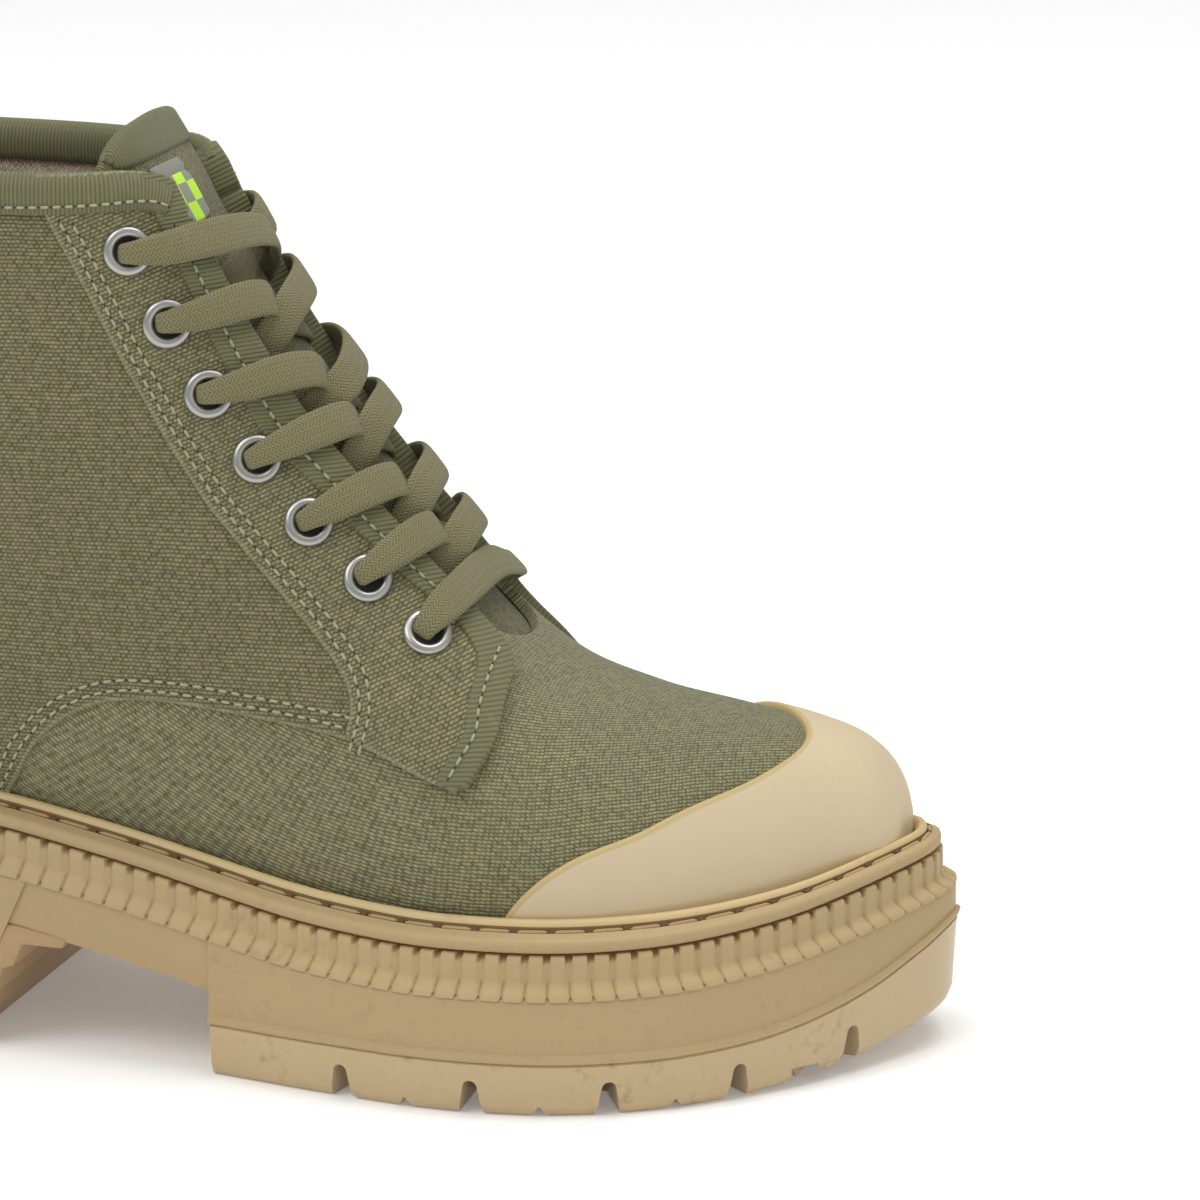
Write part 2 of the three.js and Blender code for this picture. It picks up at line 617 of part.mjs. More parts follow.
// A layer of the upper between two distances from the last, from a row to the toe. Whole
// layers close on themselves down to the heel, and a layer that starts ahead of it is open.
function layer(from, to, firstRow = 0) {
  const rows = lastRows.slice(firstRow);
  const normals = lastNormals.slice(firstRow);
  const closedRows = SHAFT_ROWS - firstRow;
  const width = rows[0].length;
  const size = rows.length * width;
  const offset = (away) =>
    rows.flatMap((row, i) => row.map((p, j) => p.clone().addScaledVector(normals[i][j], away)));
  const faces = [];
  const quad = (a, b, c, d) => faces.push(a, b, c, a, c, d);
  for (let i = 0; i + 1 < rows.length; i++) {
    for (let j = 0; j + 1 < width; j++) {
      const [a, b] = [i * width + j, (i + 1) * width + j];
      quad(a, b, b + 1, a + 1);
      quad(size + a, size + a + 1, size + b + 1, size + b);
    }
    if (i < closedRows) continue;
    const [a, b] = [i * width, (i + 1) * width];
    const [c, d] = [b + width - 1, a + width - 1];
    quad(b, a, size + a, size + b);
    quad(d, c, size + c, size + d);
  }
  for (let j = 0; j + 1 < width; j++) {
    const toe = size - width + j;
    quad(j, j + 1, size + j + 1, size + j);
    quad(toe + 1, toe, size + toe, size + toe + 1);
  }
  return solidOf(geometryOf([...offset(to), ...offset(from)], faces));
}

// Seams and edges of the upper. along and up are shares of the foot's length and the collar
// height, across is a share of the ball width.
const EYESTAY_SEAM = [
  { along: 0.33, up: 1.1 },
  { along: 0.367, up: 0.916 },
  { along: 0.427, up: 0.715 },
  { along: 0.482, up: 0.564 },
  { along: 0.557, up: 0.438 },
  { along: 0.612, up: 0.334 },
  { along: 0.614, up: 0.252 },
];
const QUARTER_EDGE = [
  { along: 0.32, up: -0.122 },
  { along: 0.324, up: 0.026 },
  { along: 0.348, up: 0.115 },
  { along: 0.375, up: 0.176 },
  { along: 0.41, up: 0.222 },
  { along: 0.45, up: 0.246 },
  { along: 0.614, up: 0.262 },
  { along: 0.71, up: 0.21 },
];
const FLAP_FRONT = [
  { along: 0.71, up: 0.21 },
  { along: 0.726, up: 0.276 },
  { along: 0.723, up: 0.6 },
];
const EYELET_LINE = [
  { along: 0.424, up: 0.883 },
  { along: 0.486, up: 0.698 },
  { along: 0.567, up: 0.542 },
  { along: 0.666, up: 0.4 },
];
// The toe cap's edge: in side view along the sides, in plan over the top
const CAP_SIDE = [
  { along: 0.72, up: -0.08 },
  { along: 0.7513, up: 0.0424 },
  { along: 0.7704, up: 0.0727 },
  { along: 0.7914, up: 0.1043 },
  { along: 0.8112, up: 0.1195 },
  { along: 0.843, up: 0.1362 },
];
const CAP_TOP = [
  { across: -0.252, along: 0.843 },
  { across: -0.174, along: 0.874 },
  { across: -0.105, along: 0.898 },
  { across: -0.021, along: 0.92 },
  { across: 0.052, along: 0.933 },
  { across: 0.101, along: 0.932 },
  { across: 0.17, along: 0.915 },
  { across: 0.262, along: 0.872 },
  { across: 0.336, along: 0.825 },
];
function inSideView({ along, up }) {
  const x = HEEL_X + along * FOOT_LENGTH;
  return [x, FEATHER + footbedRise(x) + up * COLLAR_HEIGHT];
}

// Everything above the collar's edge, moved down by drop. The edge is level and turns down in
// a quarter circle where it meets the throat.
function aboveCollar(drop) {
  const [frontX, top] = [instepPoint(COLLAR_AT).x + COLLAR_ROUND / 4, COLLAR_TOP - drop];
  const round = [0, 1, 2, 3, 4].map((i) => {
    const angle = (i * Math.PI) / 8;
    const x = frontX + COLLAR_ROUND * (Math.sin(angle) - 1);
    return [x, top + COLLAR_ROUND * (Math.cos(angle) - 1)];
  });
  return sidePrism([
    [-REACH, top],
    ...round,
    [REACH, top - COLLAR_ROUND],
    [REACH, REACH],
    [-REACH, REACH],
  ]);
}
const quarterRegion = sidePrism([
  ...QUARTER_EDGE.map(inSideView),
  ...FLAP_FRONT.map(inSideView),
  [inSideView(FLAP_FRONT.at(-1))[0], REACH],
  [-REACH, REACH],
  [-REACH, -REACH],
]);
const eyestayRegion = sidePrism([
  ...EYESTAY_SEAM.map(inSideView),
  ...FLAP_FRONT.map(inSideView),
  [inSideView(FLAP_FRONT.at(-1))[0], REACH],
  [inSideView(EYESTAY_SEAM[0])[0], REACH],
]);

// The throat: a long slot over the instep, and the same slot with wider edges
function throat(widening = 0) {
  const half = THROAT_WIDTH / 2 + widening;
  const end = [0, 1, 2, 3, 4].map((i) => {
    const angle = (i * Math.PI) / 4;
    return [THROAT_END - half * (1 - Math.sin(angle)) * 0.7, -half * Math.cos(angle)];
  });
  const back = HEEL_X + FOOT_LENGTH / 4;
  return planPrism([[back, -half], ...end, [back, half]], FEATHER, REACH);
}

// A fine copy of the last, to find places on it
const FINE = 40;
const fineRows = surfaceGrid(FINE, 2 * FINE, FINE);
const fineNormals = gridNormals(fineRows, FINE);

// The place on one side of the last that a side view shows at (x, z)
function sidePlace([x, z], side) {
  let nearest = { distance: Infinity };
  fineRows.forEach((row, i) =>
    row.forEach((p, j) => {
      if (side * (j - FINE) <= 0) return;
      const distance = Math.hypot(p.x - x, p.z - z);
      if (distance < nearest.distance) nearest = { distance, i, j };
    }),
  );
  const p = fineRows[nearest.i][nearest.j];
  const normal = fineNormals[nearest.i][nearest.j];
  const y = p.y - (normal.x * (x - p.x) + normal.z * (z - p.z)) / normal.y;
  return { row: nearest.i, point: new THREE.Vector3(x, y, z), normal };
}

// The place on a section of the last where it reaches y, on its upper half
function rowPlace(row, y) {
  const whole = Math.min(Math.floor(row), fineRows.length - 2);
  const at = (i) => {
    const side = Math.sign(y) || 1;
    let j = FINE;
    while (j + side > 0 && j + side < 2 * FINE && side * fineRows[i][j + side].y < side * y) j += side;
    const [a, b] = [fineRows[i][j], fineRows[i][j + side]];
    const t = (y - a.y) / (b.y - a.y);
    const normal = fineNormals[i][j].clone().lerp(fineNormals[i][j + side], t);
    return { point: a.clone().lerp(b, t), normal };
  };
  const [a, b] = [at(whole), at(whole + 1)];
  const t = row - whole;
  return { point: a.point.lerp(b.point, t), normal: a.normal.lerp(b.normal, t).normalize() };
}

const eyeletCurve = new THREE.SplineCurve(
  EYELET_LINE.map((row) => new THREE.Vector2(...inSideView(row))),
);
const eyeletPlaces = (side) =>
  Array.from({ length: EYELET_PAIRS }, (_, i) => {
    const p = eyeletCurve.getPointAt(Math.min((i * EYELET_PITCH) / eyeletCurve.getLength(), 1));
    return sidePlace([p.x, p.y], side);
  });
const eyelets = { lateral: eyeletPlaces(-1), medial: eyeletPlaces(1) };

// Turns a geometry that stands on +Y so that it stands on a place's normal
function standOn({ point, normal }, geometry, height) {
  const turn = new THREE.Quaternion().setFromUnitVectors(new THREE.Vector3(0, 1, 0), normal);
  const foot = point.clone().addScaledVector(normal, height);
  return geometry.applyQuaternion(turn).translate(foot.x, foot.y, foot.z);
}
const boreAt = (place) =>
  solidOf(standOn(place, new THREE.CylinderGeometry(EYELET_BORE / 2, EYELET_BORE / 2, 16, 6), 0));

// Distances of the layers from the last
const EYESTAY_TOP = QUARTER_STEP + OVERLAY;
const THROAT_BINDING_TOP = EYESTAY_TOP + OVERLAY / 2;
const BINDING_INSIDE = EYESTAY_TOP + GAP;
const BINDING_OUTSIDE = BINDING_INSIDE + OVERLAY;
const TONGUE_TOP = -UPPER_WALL - GAP;

const aboveFootbed = (gap) =>
  stackedRings([
    levelRing(0, (x) => FEATHER + footbedRise(x) + gap),
    levelRing(0, () => REACH),
  ]);
const aboveBead = stackedRings([
  levelRing(0, (x) => FOOTBED + BEAD_HEIGHT + GAP + footbedRise(x)),
  levelRing(0, () => REACH),
]);

// The upper with its steps: the quarters over the vamp, the eyestays over the quarters and a
// bound edge round the throat. The steps stand gap further out.
function steppedUpper(gap) {
  const inside = -UPPER_WALL / 2;
  const steps = layer(inside, QUARTER_STEP + gap)
    .intersect(quarterRegion)
    .add(layer(inside, EYESTAY_TOP + gap).intersect(eyestayRegion))
    .add(
      layer(inside, THROAT_BINDING_TOP + gap)
        .intersect(eyestayRegion)
        .intersect(throat(THROAT_BINDING))
        .subtract(aboveCollar(BINDING_DEPTH + GAP)),
    );
  return layer(-UPPER_WALL - gap, gap).add(steps.intersect(aboveFootbed(GAP - gap)));
}

function buildUpper() {
  const open = steppedUpper(0).subtract(aboveCollar(OVERLAY + GAP)).subtract(throat());
  const places = [...eyelets.lateral, ...eyelets.medial];
  return largest(places.reduce((form, place) => form.subtract(boreAt(place)), open));
}

function buildCollarBinding() {
  const outer = layer(-UPPER_WALL - GAP - OVERLAY, BINDING_OUTSIDE).subtract(aboveCollar(0));
  const inner = layer(-UPPER_WALL - GAP, BINDING_INSIDE).subtract(aboveCollar(OVERLAY));
  const tape = outer.intersect(aboveCollar(BINDING_DEPTH)).subtract(inner).subtract(throat());
  return largest(tape);
}

function buildToeCap() {
  const over = CAP_TOP.map((p) => [HEEL_X + p.along * FOOT_LENGTH, p.across * BALL_WIDTH]);
  const ahead = [[over.at(-1)[0], REACH], [REACH, REACH], [REACH, -REACH], [over[0][0], -REACH]];
  const sides = CAP_SIDE.map(inSideView);
  const below = sidePrism([...sides, [over[0][0], 0], [sides[0][0], 0]]);
  const region = planPrism([...over, ...ahead].reverse(), 0, REACH).add(below);
  return largest(layer(GAP, GAP + CAP_THICKNESS).intersect(region).intersect(aboveBead));
}

// Tongue: a padded strip under the eyestays, standing above the collar
function buildTongue() {
  const behind = [-1, -0.5, 0, 0.3, 0.5].map((at) => {
    const p = instepPoint(at);
    return [p.x - TONGUE_DEPTH * 0.77, p.z - TONGUE_DEPTH * 0.64];
  });
  const end = THROAT_END + TONGUE_LAP;
  const top = instepPoint(COLLAR_AT);
  const region = sidePrism([
    ...behind,
    [end, FEATHER],
    [end, COLLAR_TOP],
    [top.x + TONGUE_DEPTH, COLLAR_TOP + TONGUE_RISE + TONGUE_DEPTH / 2],
    [top.x - TONGUE_DEPTH, COLLAR_TOP + TONGUE_RISE - TONGUE_DEPTH / 2],
  ]);
  const half = TONGUE_WIDTH / 2;
  const strip = planPrism([[-REACH, -half], [REACH, -half], [REACH, half], [-REACH, half]], 0, REACH);
  const underBinding = layer(TONGUE_TOP - OVERLAY - GAP, 0)
    .intersect(aboveCollar(BINDING_DEPTH + GAP))
    .subtract(aboveCollar(-GAP))
    .subtract(throat(-GAP));
  const pad = layer(TONGUE_TOP - TONGUE_WALL, TONGUE_TOP).intersect(region).intersect(strip);
  return largest(pad.subtract(underBinding));
}

// Eyelet: a domed ring
function eyeletGeometry() {
  const [bore, outer] = [EYELET_BORE / 2, EYELET_OUTER / 2];
  const profile = [
    [bore, 0],
    [outer, 0],
    [(bore + outer) / 2, EYELET_HEIGHT],
    [bore, 0],
  ];
  return new THREE.LatheGeometry(profile.map(([x, y]) => new THREE.Vector2(x, y)), 7);
}

// Lacing: flat straps across the throat. Each stop is a row of the last, a y and the height
// of the strap's middle above the last.
function strap(stops) {
  const places = stops.map(([row, y, height]) => {
    const { point, normal } = rowPlace(row, y);
    return { point: point.addScaledVector(normal, height), normal };
  });
  const path = new THREE.CatmullRomCurve3(places.map((place) => place.point));
  const steps = STRAP_STEPS;
  const points = [];
  for (let i = 0; i <= steps; i++) {
    const t = i / steps;
    const place = t * (places.length - 1);
    const k = Math.min(Math.floor(place), places.length - 2);
    const normal = places[k].normal.clone().lerp(places[k + 1].normal, place - k);
    const tangent = path.getTangent(t);
    const across = tangent.clone().cross(normal).normalize();
    const up = across.clone().cross(tangent).normalize();
    const middle = path.getPoint(t);
    for (const [a, b] of [[-1, -1], [1, -1], [1, 1], [-1, 1]]) {
      const corner = middle.clone().addScaledVector(across, (a * LACE_WIDTH) / 2);
      points.push(corner.addScaledVector(up, (b * LACE_THICKNESS) / 2));
    }
  }
  const last = 4 * steps;
  const faces = [0, 1, 2, 0, 2, 3, last, last + 2, last + 1, last, last + 3, last + 2];
  for (let i = 0; i < steps; i++) {
    for (let k = 0; k < 4; k++) {
      const [a, b] = [4 * i + k, 4 * i + ((k + 1) % 4)];
      faces.push(a, b + 4, b, a, a + 4, b + 4);
    }
  }
  return solidOf(geometryOf(points, faces));
}

const LACE_OVER_EYELET = EYESTAY_TOP + GAP + EYELET_HEIGHT + LACE_CLEARANCE + LACE_THICKNESS / 2;
const LACE_OVER_EDGE = THROAT_BINDING_TOP + LACE_CLEARANCE + LACE_THICKNESS / 2;

// Two straps that cross over the tongue and pass under the far eyestay one level lower
function crossing(level) {
  const half = THROAT_WIDTH / 2;
  const end = level === EYELET_PAIRS - 2 ? 0.45 : 0.67;
  const straps = [-1, 1].map((side) => {
    const places = side < 0 ? eyelets.lateral : eyelets.medial;
    const [from, to] = [places[level], places[level + 1]];
    const row = (share) => from.row + (to.row - from.row) * share;
    return strap([
      [row(0), from.point.y, LACE_OVER_EYELET],
      [row(end / 6), side * half, LACE_OVER_EDGE],
      [row(end / 1.8), 0, LACE_ARCH + (side > 0 ? LACE_THICKNESS * 0.7 : 0)],
      [row(end), -side * half * 0.45, -LACE_THICKNESS / 4],
    ]);
  });
  return straps[0].add(straps[1]);
}

function lowestBar() {
  const [near, far] = [eyelets.lateral.at(-1), eyelets.medial.at(-1)];
  const half = THROAT_WIDTH / 2;
  return strap([
    [near.row, near.point.y, LACE_OVER_EYELET],
    [near.row, -half, LACE_OVER_EDGE],
    [near.row, 0, LACE_ARCH],
    [far.row, half, LACE_OVER_EDGE],
    [far.row, far.point.y, LACE_OVER_EYELET],
  ]);
}

add("midsole", buildMidsole(), MATERIALS.midsoleFoam);
const forefootForm = outsoleForm().intersect(aheadOf(FOREFOOT_BLOCK_START));
add("outsole_forefoot", cutTread(forefootForm, FRONT_TREAD), MATERIALS.gumRubber);
const heelForm = outsoleForm().intersect(heelSide());
add("outsole_heel", cutTread(heelForm, HEEL_TREAD), MATERIALS.gumRubber);
add("ribbed_band", buildRibbedBand(), MATERIALS.midsoleFoam);
const upperRoom = steppedUpper(2 * GAP);
const welt = buildWelt().subtract(upperRoom).subtract(upperRoom.translate([0, 0, -GAP]));
add("welt", largest(welt), MATERIALS.midsoleFoam);
add("insole", buildInsole(), MATERIALS.lining);
add("upper", buildUpper(), MATERIALS.canvas);
add("toe_cap", buildToeCap(), MATERIALS.capRubber);
add("collar_binding", buildCollarBinding(), MATERIALS.canvasTape);
add("tongue", buildTongue(), MATERIALS.canvas);
for (const [side, places] of Object.entries(eyelets)) {
  places.forEach((place, i) => {
    const ring = solidOf(standOn(place, eyeletGeometry(), EYESTAY_TOP + GAP));
    add(`eyelet_${side}_${i + 1}`, ring, MATERIALS.metal);
  });
}
for (let level = 0; level < EYELET_PAIRS - 1; level++) {
  add(`lace_crossing_${level + 1}`, crossing(level), MATERIALS.lace);
}
add("lace_bar", lowestBar(), MATERIALS.lace);

// The origin lies on the floor under the middle of the boot
const extent = new THREE.Box3().setFromObject(boot);
const middle = extent.getCenter(new THREE.Vector3());
boot.position.set(-middle.x, -middle.y, -extent.min.z);

export default boot;
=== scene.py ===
"""Looks of a right canvas lace-up boot on a lugged platform sole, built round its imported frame.

Lengths are in millimetres until a mesh is made. +X is the toe, -Y the outer side, +Z up.
"""

from __future__ import annotations

import logging
import math
from dataclasses import dataclass, field
from enum import Enum
from typing import Callable, NamedTuple

import bpy
import numpy as np
from mathutils import Matrix, Vector


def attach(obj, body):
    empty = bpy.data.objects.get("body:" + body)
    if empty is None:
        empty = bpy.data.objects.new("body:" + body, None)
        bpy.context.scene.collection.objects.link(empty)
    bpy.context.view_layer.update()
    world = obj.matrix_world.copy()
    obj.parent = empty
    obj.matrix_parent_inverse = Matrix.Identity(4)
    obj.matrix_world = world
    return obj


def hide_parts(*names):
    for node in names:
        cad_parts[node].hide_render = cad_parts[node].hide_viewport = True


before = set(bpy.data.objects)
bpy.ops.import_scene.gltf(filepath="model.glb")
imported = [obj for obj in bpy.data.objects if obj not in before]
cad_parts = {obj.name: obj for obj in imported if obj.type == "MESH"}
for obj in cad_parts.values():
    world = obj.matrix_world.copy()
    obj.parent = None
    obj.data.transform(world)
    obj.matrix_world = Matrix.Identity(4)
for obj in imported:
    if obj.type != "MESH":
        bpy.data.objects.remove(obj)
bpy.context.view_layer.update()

LOG = logging.getLogger("canvas_boot")
MM = 0.001
LATERAL, MEDIAL = -1, 1
SIDES = (LATERAL, MEDIAL)
Array = np.ndarray
Level = Callable[[Array], Array]


def smooth_step(value: Array, low: float, high: float) -> Array:
    """Returns a soft step that is 0 up to low and 1 from high on."""
    t = np.clip((value - low) / (high - low), 0.0, 1.0)
    return t * t * (3 - 2 * t)


def blend(a: Array, b: Array, share: Array | float) -> Array:
    """Returns the place at a share of the way from a to b."""
    return a + (b - a) * share


def unit(vectors: Array) -> Array:
    """Returns vectors at length one."""
    length = np.linalg.norm(vectors, axis=-1, keepdims=True)
    return vectors / np.maximum(length, 1e-9)


class Column:
    """A smooth curve through one column of a table with a row for each place."""

    def __init__(self, rows: list, name: str) -> None:
        """Reads the column called name. The rows' first field is the place."""
        self.keys = np.array([row[0] for row in rows], float)
        self.values = np.array([getattr(row, name) for row in rows], float)
        before = np.maximum(np.arange(len(rows)) - 1, 0)
        after = np.minimum(np.arange(len(rows)) + 1, len(rows) - 1)
        rise = self.values[after] - self.values[before]
        self.slopes = rise / (self.keys[after] - self.keys[before])

    def __call__(self, where: Array | float) -> Array:
        """Returns the column's value at each place."""
        at = np.clip(where, self.keys[0], self.keys[-1])
        i = np.clip(np.searchsorted(self.keys, at) - 1, 0, len(self.keys) - 2)
        step = self.keys[i + 1] - self.keys[i]
        t = (at - self.keys[i]) / step
        rise = self.values[i + 1] - self.values[i]
        out = t * (1 - t) ** 2 * self.slopes[i] * step
        into = t * t * (t - 1) * self.slopes[i + 1] * step
        return self.values[i] + rise * t * t * (3 - 2 * t) + out + into


def rounded_line(points: list, steps: int = 8, closed: bool = False) -> Array:
    """Runs a smooth line through points.

    Args:
        points: Corners, in two or three dimensions.
        steps: Points made for each span.
        closed: Whether the line returns to its first point.

    Returns:
        An array with a row for each point of the line.
    """
    p = np.array(points, float)
    count = len(p)
    spans = count if closed else count - 1
    line = []
    for i in range(spans):
        if closed:
            quad = [p[(i + k) % count] for k in (-1, 0, 1, 2)]
        else:
            first = p[i - 1] if i > 0 else 2 * p[0] - p[1]
            last = p[i + 2] if i + 2 < count else 2 * p[-1] - p[-2]
            quad = [first, p[i], p[i + 1], last]
        line.append(centripetal_span(quad, np.arange(steps) / steps))
    if not closed:
        line.append(p[-1:])
    return np.concatenate(line)


def centripetal_span(quad: list, t: Array) -> Array:
    """Returns points at the shares t of the span between the middle two of four points."""
    d0, d1, d2 = (max(float(np.sum((quad[k + 1] - quad[k]) ** 2)) ** 0.25, 1e-4) for k in range(3))
    t1 = (quad[1] - quad[0]) / d0 - (quad[2] - quad[0]) / (d0 + d1) + (quad[2] - quad[1]) / d1
    t2 = (quad[2] - quad[1]) / d1 - (quad[3] - quad[1]) / (d1 + d2) + (quad[3] - quad[2]) / d2
    t1, t2 = t1 * d1, t2 * d1
    t = t[:, None]
    c2 = -3 * quad[1] + 3 * quad[2] - 2 * t1 - t2
    c3 = 2 * quad[1] - 2 * quad[2] + t1 + t2
    return quad[1] + t1 * t + c2 * t**2 + c3 * t**3


def spaced(line: Array, pitch: float) -> Array:
    """Returns points on a line at an even pitch, with both its ends. More columns follow along."""
    run = np.concatenate([[0], np.cumsum(np.linalg.norm(np.diff(line[:, :3], axis=0), axis=1))])
    count = max(int(round(run[-1] / pitch)), 1)
    places = np.linspace(0, run[-1], count + 1)
    return np.stack([np.interp(places, run, line[:, k]) for k in range(line.shape[1])], 1)


def distance_inside(points: Array, outline: Array) -> Array:
    """Returns each point's distance to a closed flat outline, positive inside it."""
    a = outline
    b = np.roll(outline, -1, axis=0)
    nearest = np.full(len(points), np.inf)
    inside = np.zeros(len(points), bool)
    for (ax, ay), (bx, by) in zip(a, b):
        run = np.array([bx - ax, by - ay])
        away = points - (ax, ay)
        t = np.clip(away @ run / max(run @ run, 1e-9), 0, 1)
        nearest = np.minimum(nearest, np.hypot(*(away - t[:, None] * run).T))
        between = (ay > points[:, 1]) != (by > points[:, 1])
        rise = by - ay if abs(by - ay) > 1e-9 else 1e-9
        inside ^= between & (points[:, 0] < ax + (points[:, 1] - ay) * (bx - ax) / rise)
    return np.where(inside, nearest, -nearest)


class OutlineRow(NamedTuple):
    """A point of the sole's outline, as shares of its length and of the ball width."""

    along: float
    across: float


class RiseRow(NamedTuple):
    """Rises along the sole: shares of the heel's lift, the footbed's and the tread's at the toe."""

    along: float
    heel: float
    toe: float
    tip: float


OUTLINE = [
    OutlineRow(*row)
    for row in (
        (-0.5, 0.0), (-0.472, -0.2), (-0.395, -0.335), (-0.27, -0.38), (-0.14, -0.388),
        (-0.02, -0.41), (0.1, -0.476), (0.19, -0.51), (0.27, -0.487), (0.345, -0.39),
        (0.42, -0.2), (0.472, 0.0), (0.5, 0.17), (0.482, 0.33), (0.43, 0.425), (0.34, 0.478),
        (0.24, 0.49), (0.13, 0.462), (0.0, 0.4), (-0.14, 0.372), (-0.27, 0.374),
        (-0.395, 0.335), (-0.472, 0.2),
    )
]
RISE = [
    RiseRow(*row)
    for row in (
        (-0.5, 1.0, 0, 0),
        (-0.36, 0.96, 0, 0),
        (-0.25, 0.86, 0, 0),
        (-0.155, 0.68, 0, 0),
        (-0.075, 0.47, 0, 0),
        (0.01, 0.23, 0, 0),
        (0.075, 0.09, 0, 0),
        (0.15, 0.01, 0, 0),
        (0.23, 0, 0, 0),
        (0.31, 0, 0.01, 0),
        (0.36, 0, 0.07, 0.02),
        (0.41, 0, 0.25, 0.12),
        (0.455, 0, 0.58, 0.4),
        (0.485, 0, 0.84, 0.76),
        (0.5, 0, 1.0, 1.0),
    )
]


@dataclass
class SoleShape:
    """The sole's outline, heights and steps, in millimetres."""

    length: float = 282
    ball_width: float = 107
    outsole_depth: float = 11
    block_wall: float = 13
    rib_slope: float = 2.8
    rib_height: float = 5.4
    rib_pitch: float = 4.6
    heel_lift: float = 20
    toe_rise: float = 9
    flange_toe_rise: float = 15
    tread_toe_rise: float = 9
    forefoot_start: float = 3.5
    heel_end: float = -38
    breast_lean: float = 15
    gap: float = 0.3
    wall_inset: float = 0.9
    rib_inset: float = 3.6
    welt_inset: float = 5
    feather_inset: float = 13.6
    toe_narrowing: float = 0.24
    line: Array = field(init=False, repr=False)
    run: Array = field(init=False, repr=False)

    def __post_init__(self) -> None:
        """Works out the outline and the curves of the rises."""
        corners = [(row.along * self.length, row.across * self.ball_width) for row in OUTLINE]
        line = rounded_line(corners, 120, closed=True)
        self.line = np.concatenate([line, line[:1]])
        steps = np.linalg.norm(np.diff(self.line, axis=0), axis=1)
        self.run = np.concatenate([[0], np.cumsum(steps)])
        self._heel = Column(RISE, "heel")
        self._toe = Column(RISE, "toe")
        self._tip = Column(RISE, "tip")

    @property
    def block_top(self) -> float:
        """Returns the height of the smooth wall's upper edge, at the ball."""
        return self.outsole_depth + self.block_wall

    @property
    def rib_bottom(self) -> float:
        """Returns the height of the upright ribs' lower end, at the ball."""
        return self.block_top + self.rib_slope

    @property
    def footbed(self) -> float:
        """Returns the height of the midsole's top, at the ball."""
        return self.rib_bottom + self.rib_height + self.gap

    @property
    def feather(self) -> float:
        """Returns the height of the upper's lower edge, at the ball."""
        return self.footbed + 2.5 * self.gap

    def heel_rise(self, x: Array) -> Array:
        """Returns the footbed's climb towards the heel."""
        return self.heel_lift * self._heel(x / self.length)

    def footbed_rise(self, x: Array) -> Array:
        """Returns the footbed's climb towards both ends."""
        return self.heel_rise(x) + self.toe_rise * self._toe(x / self.length)

    def flange_rise(self, x: Array) -> Array:
        """Returns the outsole's upper edge's climb at the toe."""
        return self.flange_toe_rise * self._tip(x / self.length)

    def tread_rise(self, x: Array) -> Array:
        """Returns the tread's climb at the toe."""
        return np.maximum(0, self.tread_toe_rise * self._tip(x / self.length))

    def outline(self, share: Array, inset: Array | float = 0.0) -> Array:
        """Returns points at shares of the way round, moved inwards by inset."""
        place = (share % 1.0) * self.run[-1]
        step = 0.4
        p, ahead, behind = (
            np.stack([np.interp((place + d) % self.run[-1], self.run, self.line[:, k]) for k in (0, 1)], -1)
            for d in (0, step, -step)
        )
        tangent = unit(ahead - behind)
        toe = smooth_step(p[..., 0] / self.length, 0.34, 0.48)
        ledge = np.maximum(np.asarray(inset) - self.welt_inset, 0) * self.toe_narrowing * toe
        inward = np.stack([-tangent[..., 1], tangent[..., 0]], -1)
        return p + inward * np.asarray(inset - ledge)[..., None]


SOLE = SoleShape()


class BackRow(NamedTuple):
    """The heel's back line: how far it leans and how high it is, as shares."""

    at: float
    back: float
    up: float


class SectionRow(NamedTuple):
    """A section of the last. See the fields of Last for what the shares are of."""

    at: float
    instep: float
    up: float
    wide: float
    belly: float
    full: float
    round: float


BACK_LINE = [
    BackRow(*row)
    for row in (
        (-1.0, -0.037, 1.12),
        (-0.88, -0.041, 0.985),
        (-0.7, -0.045, 0.79),
        (-0.5, -0.038, 0.57),
        (-0.3, -0.015, 0.35),
        (-0.13, 0.009, 0.155),
        (0.0, 0.0, 0.0),
    )
]
SECTIONS = [
    SectionRow(*row)
    for row in (
        (-1.0, 0.398, 1.120, 0.5, 0.56, 3.0, 2.2),
        (-0.88, 0.445, 1.000, 0.5, 0.57, 3.0, 2.2),
        (-0.7, 0.468, 0.935, 0.5, 0.6, 2.95, 2.2),
        (-0.5, 0.496, 0.868, 0.5, 0.65, 2.9, 2.2),
        (-0.3, 0.522, 0.806, 0.51, 0.71, 2.85, 2.25),
        (-0.13, 0.547, 0.753, 0.525, 0.76, 2.8, 2.3),
        (0.0, 0.564, 0.716, 0.535, 0.79, 2.75, 2.3),
        (0.08, 0.577, 0.688, 0.54, 0.78, 2.7, 2.1),
        (0.2, 0.597, 0.643, 0.545, 0.74, 2.6, 1.55),
        (0.32, 0.622, 0.583, 0.545, 0.71, 2.5, 1.3),
        (0.44, 0.650, 0.524, 0.55, 0.7, 2.45, 1.3),
        (0.54, 0.680, 0.458, 0.56, 0.72, 2.4, 1.4),
        (0.63, 0.715, 0.388, 0.53, 0.75, 2.3, 1.6),
        (0.7, 0.755, 0.331, 0.5, 0.77, 2.15, 1.8),
        (0.77, 0.805, 0.293, 0.44, 0.77, 2.15, 2.0),
        (0.84, 0.872, 0.256, 0.38, 0.75, 2.2, 2.0),
        (0.9, 0.925, 0.222, 0.31, 0.72, 2.25, 2.0),
        (0.95, 0.966, 0.176, 0.22, 0.68, 2.25, 2.0),
        (0.98, 0.990, 0.110, 0.12, 0.62, 2.2, 2.0),
        (1.0, 1.000, 0.000, 0.0, 0.6, 2.1, 2.0),
    )
]


